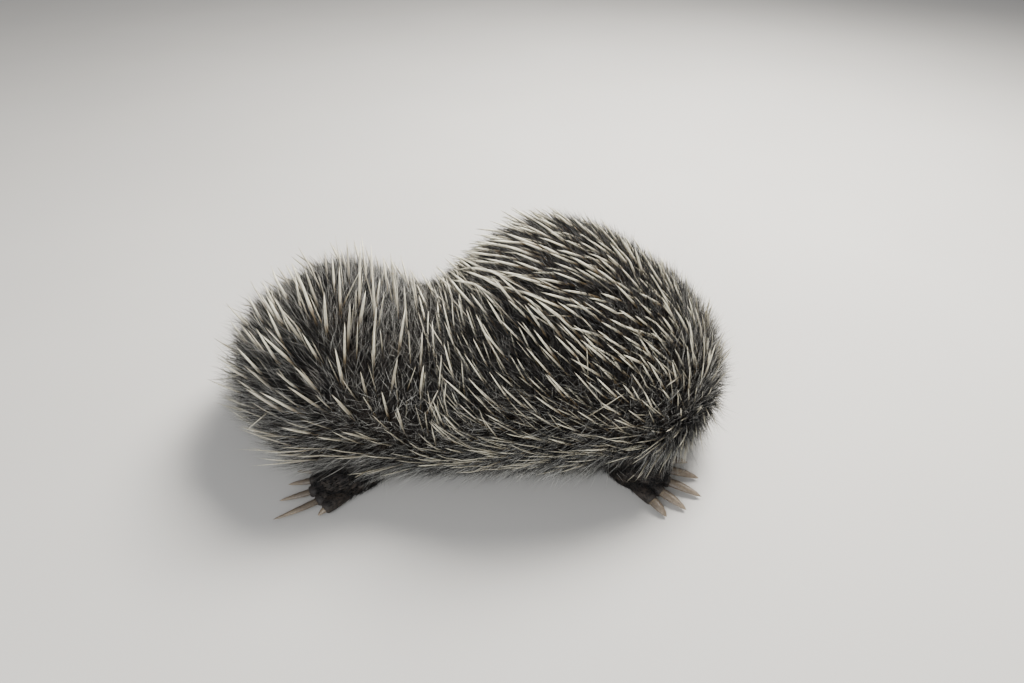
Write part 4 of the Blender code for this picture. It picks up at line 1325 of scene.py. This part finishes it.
    @staticmethod
    def regions(points):
        """How far each point is on the rump, low on the flank, and in the furry dip of the side."""
        x, y, z = points.T
        rump = 1 - rise(x, WAIST_X - 0.004, WAIST_X + 0.014)
        flank = 1 - rise(z, 0.034, 0.078 - 0.018 * rump)
        furry = swell(x, 0.012, 0.040) * swell(z, 0.090, 0.028) * (y < 0)
        return rump, flank, furry

    @staticmethod
    def halves(roots):
        """The names of the two pieces of the trunk's spines, each with its choice of the roots."""
        behind = roots.points[:, 0] < WAIST_X
        return (("rump", behind), ("back", ~behind))

    def head(self, coat, finish, tree, rng):
        roots = Scatter(tree, head_place, head_lie, "head", 5000, rng)
        s, turn = head_param(roots.along, roots.angle)
        roots.keep((s > 0.030) & (s < 0.096) & (np.abs(turn) < 1.75 - 8 * (s - 0.03)) & (roots.points[:, 2] > 0.016))
        roots.keep(face_clear(roots.points, 0.014))
        s, turn = head_param(roots.along, roots.angle)
        ear = (np.abs(np.abs(turn) - 1.5) < 0.45) & (np.abs(s - EAR_ALONG) < 0.008)
        roots.keep(~ear)
        s, _ = head_param(roots.along, roots.angle)
        crown = rise(s, 0.060, 0.098)
        roots.thin_out(coat.spine_spacing * (0.86 - 0.28 * crown))
        s, _ = head_param(roots.along, roots.angle)
        crown = rise(s, 0.060, 0.098)
        count = len(roots.points)
        lengths = coat.spine_length * rng.uniform(0.75, 1.05, count) * (0.88 - 0.58 * crown)
        radii = coat.spine_radius * rng.uniform(0.75, 1.0, count) * (0.95 - 0.42 * crown)
        self.grow("spines_head", roots, lengths, radii, np.full(count, 0.42), 0.0, rng, finish)

    def tail(self, coat, finish, tree, rng):
        roots = Scatter(tree, tail_place, straight_lie(TAIL_WAY), "tail", 900, rng)
        roots.keep((roots.normals[:, 2] > -0.1) & (roots.along > 0.35))
        roots.thin_out(np.full(len(roots.points), coat.spine_spacing * 0.80))
        count = len(roots.points)
        lengths = coat.spine_length * rng.uniform(0.50, 0.75, count)
        radii = coat.spine_radius * rng.uniform(0.7, 0.95, count)
        self.grow("spines_tail", roots, lengths, radii, np.full(count, 0.60), 0.0, rng, finish)


class ECHIDNA_OT_fur(bpy.types.Operator):
    """Set the dark fur and the pale bristles between the spines, and on the head, legs and tail"""

    bl_idname = "echidna.fur"
    bl_label = "Fur"

    def execute(self, context):
        coat = context.scene.echidna_coat
        colours = context.scene.echidna_colours
        tree = skin_tree()
        rng = np.random.default_rng(SEED + 1)
        dark = hair_material("fur", colours.fur, 3.0, 0.45, colours, 0.04)
        pale = hair_material("pale_hair", colours.pale_hair, 1.0, 0.42, colours, 0.12)
        self.trunk(coat, tree, rng, dark, pale)
        self.head(coat, tree, rng, dark, pale)
        self.limbs(coat, tree, rng, dark)
        self.tail(coat, tree, rng, dark)
        return {"FINISHED"}

    @staticmethod
    def trunk(coat, tree, rng, dark, pale):
        """Dark tufts all over the trunk, and finer, longer, paler hairs that cross them."""
        for kind, total, pieces in (("fur", coat.trunk_tufts, 4), ("hairs", coat.trunk_hairs, 2)):
            roots = Scatter(tree, trunk_place, trunk_lie, "trunk", total, rng)
            if kind == "hairs":
                x, _, z = roots.points.T
                crown = rise(x, 0.000, 0.050) * rise(z, 0.070, 0.110)
                roots.keep(rng.random(len(x)) < 1 - 0.78 * crown - 0.48 * rise(z, 0.05, 0.08) * (1 - crown))
            order = np.argsort(roots.points[:, 0], kind="stable")
            for k, chosen in enumerate(np.array_split(order, pieces)):
                mask = np.zeros(len(order), bool)
                mask[chosen] = True
                part = roots.subset(mask)
                x, _, z = part.points.T
                count = len(z)
                low = 1 - rise(z, 0.008, 0.045)
                rump = 1 - rise(x, WAIST_X - 0.004, WAIST_X + 0.024)
                corner = rise(x, 0.110, 0.145) * (1 - rise(z, 0.050, 0.085))
                upright = (0.12 + 0.14 * rump) * (1 - low) + ECHIDNA_OT_spines.crest(part) - 0.12 * corner
                front = rise(x, 0.105, 0.150) * (1 + 0.8 * low)
                crown = rise(x, 0.015, 0.060) * rise(z, 0.075, 0.110)
                end = 1 - rise(x, -0.152, -0.120)
                lengths = coat.fur_length * (1 - 0.20 * low + 0.25 * front + 0.30 * end)
                if kind == "fur":
                    lengths = lengths * rng.uniform(0.75, 1.25, count) * (1 - 0.12 * rump)
                    widths = coat.fur_width * rng.uniform(0.65, 1.2, count)
                    wander = 0.30 - 0.14 * crown
                    tilts = (0.72 + upright, np.maximum(0.14 + upright, 0.04))
                    material, paler = dark, 0.12 * low
                else:
                    lengths = lengths * rng.uniform(0.90, 1.60, count) * (1 + 0.45 * low)
                    widths = coat.fur_width * rng.uniform(0.42, 0.70, count)
                    wander = 0.60 - 0.35 * crown - 0.25 * (1 - rise(z, 0.030, 0.070))
                    tilts, material = (0.62 + upright, np.maximum(0.24 + upright, 0.04)), pale
                    paler = 0.12 - 0.35 * crown - 0.28 * rise(z, 0.06, 0.10)
                fur(f"{kind}_trunk_{k + 1}", part, rng, lengths, widths, tilts, wander, material, paler)

    @staticmethod
    def head(coat, tree, rng, dark, pale):
        """Fur on the neck and head, finest on the face, that ends at the beak, eyes and ears' slits."""
        middle = head_frame(FACE_END - 0.012)[0][0]

        def face(points):
            return 1 + 3.0 * swell(np.linalg.norm(points - middle, axis=1), 0, 0.032)

        for kind, total in (("fur", coat.head_tufts), ("hairs", coat.head_tufts // 6)):
            roots = Scatter(tree, head_place, head_lie, "head", total, rng, face)
            s, turn = head_param(roots.along, roots.angle)
            edge = FACE_END - 0.001 + rng.normal(0, 0.0030, len(s))
            down = (np.abs(turn) - math.radians(EAR_ANGLE)) * 0.030
            slit = np.hypot((s - EAR_ALONG - 0.001) / (EAR_WIDTH * 0.24), down / (EAR_HEIGHT * 0.38))
            clear = face_clear(roots.points, 0.0066)
            if kind == "hairs":
                clear &= rng.random(len(s)) > rise(s, 0.035, 0.085)
            roots.keep((s < edge) & (s > 0.015) & (slit > 1) & clear)
            s, _ = head_param(roots.along, roots.angle)
            count = len(s)
            near_beak = rise(s, 0.060, FACE_END)
            shorter = 0.74 - 0.52 * near_beak
            if kind == "fur":
                lengths = coat.fur_length * rng.uniform(0.70, 1.20, count) * shorter
                widths = coat.fur_width * rng.uniform(0.65, 1.10, count) * (1 - 0.45 * near_beak)
                fur("fur_head", roots, rng, lengths, widths, (0.50, 0.08), 0.22, dark)
            else:
                lengths = coat.fur_length * rng.uniform(0.8, 1.3, count) * shorter
                widths = coat.fur_width * rng.uniform(0.42, 0.70, count)
                fur("hairs_head", roots, rng, lengths, widths, (0.55, 0.20), 0.35, pale)

    @staticmethod
    def limbs(coat, tree, rng, dark):
        """Short fur down the legs, and shorter still on the feet and the tops of the toes."""
        for name, (hip, foot, way, _) in LIMBS.items():
            places, _ = limb_parts(name)
            down = unit(np.array(foot) - np.array(hip))
            pieces, shorter = [], []
            for part, place in places.items():
                lie = straight_lie(down if part == "leg" else np.array(way))
                share = {"leg": 0.48, "foot": 0.32}.get(part, 0.04)
                count = int(coat.limb_tufts * share)
                roots = Scatter(tree, place, lie, name, count, rng, reach=0.0018)
                on_top = roots.normals[:, 2] > (0.05 if part.startswith("toe") else -0.35)
                roots.keep(on_top & ((roots.along < 0.72) | (part in ("leg", "foot"))))
                pieces.append(roots)
                size = {"leg": 0.50, "foot": 0.30}.get(part, 0.17)
                shorter.append(np.full(len(roots.points), size))
            roots = pieces[0].join(*pieces[1:])
            shorter = np.concatenate(shorter)
            count = len(shorter)
            lengths = coat.fur_length * rng.uniform(0.7, 1.2, count) * shorter
            widths = coat.fur_width * rng.uniform(0.6, 1.0, count) * (0.65 + 0.7 * shorter)
            fur(f"fur_{name}", roots, rng, lengths, widths, (0.45, 0.08), 0.25, dark)

    @staticmethod
    def tail(coat, tree, rng, dark):
        """Short fur on the tail."""
        roots = Scatter(tree, tail_place, straight_lie(TAIL_WAY), "tail", coat.tail_tufts, rng)
        count = len(roots.points)
        lengths = coat.fur_length * rng.uniform(0.4, 0.8, count)
        widths = coat.fur_width * rng.uniform(0.7, 1.1, count)
        fur("fur_tail", roots, rng, lengths, widths, (0.65, 0.20), 0.28, dark)


class ECHIDNA_OT_stage(bpy.types.Operator):
    """Set the plain floor, the soft studio light and the camera"""

    bl_idname = "echidna.stage"
    bl_label = "Stage"

    def execute(self, context):
        colours = context.scene.echidna_colours
        bpy.ops.object.select_all(action="DESELECT")
        bpy.ops.mesh.primitive_plane_add(size=30)
        floor = bpy.context.object
        floor.name = floor.data.name = "floor"
        floor.data.materials.append(floor_material(colours))
        self.light("key_light", (0.42, 0.48, 0.95), 0.50, 38.0, (1.0, 0.98, 0.93))
        self.light("fill_light", (-0.30, -0.95, 0.55), 0.9, 10.0, (0.94, 0.97, 1.0))
        self.light("back_light", (0.35, 0.95, 0.75), 0.8, 5.0, (1.0, 0.98, 0.95))
        world = bpy.data.worlds.new("studio")
        context.scene.world = world
        world.use_nodes = True
        backdrop = world.node_tree.nodes["Background"]
        backdrop.inputs["Color"].default_value = (0.93, 0.95, 1.0, 1)
        backdrop.inputs["Strength"].default_value = 0.34
        self.camera(context)
        return {"FINISHED"}

    @staticmethod
    def light(name, place, size, power, colour):
        """A soft square light that looks at the animal."""
        bpy.ops.object.light_add(type="AREA", location=place)
        lamp = bpy.context.object
        lamp.name = name
        lamp.data.size = size
        lamp.data.energy = power
        lamp.data.color = colour
        away = Vector(place) - Vector((0, 0, 0.06))
        lamp.rotation_mode = "QUATERNION"
        lamp.rotation_quaternion = (-away).to_track_quat("-Z", "Y")

    @staticmethod
    def camera(context):
        """The photograph's view: from the right flank, looking down at 37 degrees."""
        target = Vector((0.024, 0.0, 0.065))
        elevation = math.radians(37)
        distance = 0.52
        back = Vector((0, -math.cos(elevation), math.sin(elevation)))
        data = bpy.data.cameras.new("camera")
        data.sensor_width = 36
        data.lens = 26
        data.clip_start = 0.01
        data.clip_end = 100
        camera = bpy.data.objects.new("camera", data)
        context.scene.collection.objects.link(camera)
        camera.location = target + back * distance
        camera.rotation_mode = "QUATERNION"
        camera.rotation_quaternion = (-back).to_track_quat("-Z", "Y")
        context.scene.camera = camera


STEPS = (
    ECHIDNA_OT_skin, ECHIDNA_OT_eyes, ECHIDNA_OT_claws, ECHIDNA_OT_spines, ECHIDNA_OT_fur, ECHIDNA_OT_stage,
)  # fmt: skip


class ECHIDNA_PT_panel(bpy.types.Panel):
    """Lists the steps and the settings in the sidebar"""

    bl_idname = "ECHIDNA_PT_panel"
    bl_label = "Echidna"
    bl_space_type = "VIEW_3D"
    bl_region_type = "UI"
    bl_category = "Echidna"

    def draw(self, context):
        for settings in (context.scene.echidna_coat, context.scene.echidna_colours):
            box = self.layout.box()
            for name in settings.bl_rna.properties.keys():
                if name not in ("rna_type", "name"):
                    box.prop(settings, name)
        for step in STEPS:
            self.layout.operator(step.bl_idname)


CLASSES = (EchidnaCoatSettings, EchidnaColourSettings, *STEPS, ECHIDNA_PT_panel)


def register():
    for kind in CLASSES:
        bpy.utils.register_class(kind)
    bpy.types.Scene.echidna_coat = PointerProperty(type=EchidnaCoatSettings)
    bpy.types.Scene.echidna_colours = PointerProperty(type=EchidnaColourSettings)


def unregister():
    del bpy.types.Scene.echidna_colours
    del bpy.types.Scene.echidna_coat
    for kind in reversed(CLASSES):
        bpy.utils.unregister_class(kind)


def main():
    register()
    bpy.ops.echidna.skin()
    bpy.ops.echidna.eyes()
    bpy.ops.echidna.claws()
    bpy.ops.echidna.spines()
    bpy.ops.echidna.fur()
    bpy.ops.echidna.stage()


if __name__ == "__main__":
    main()
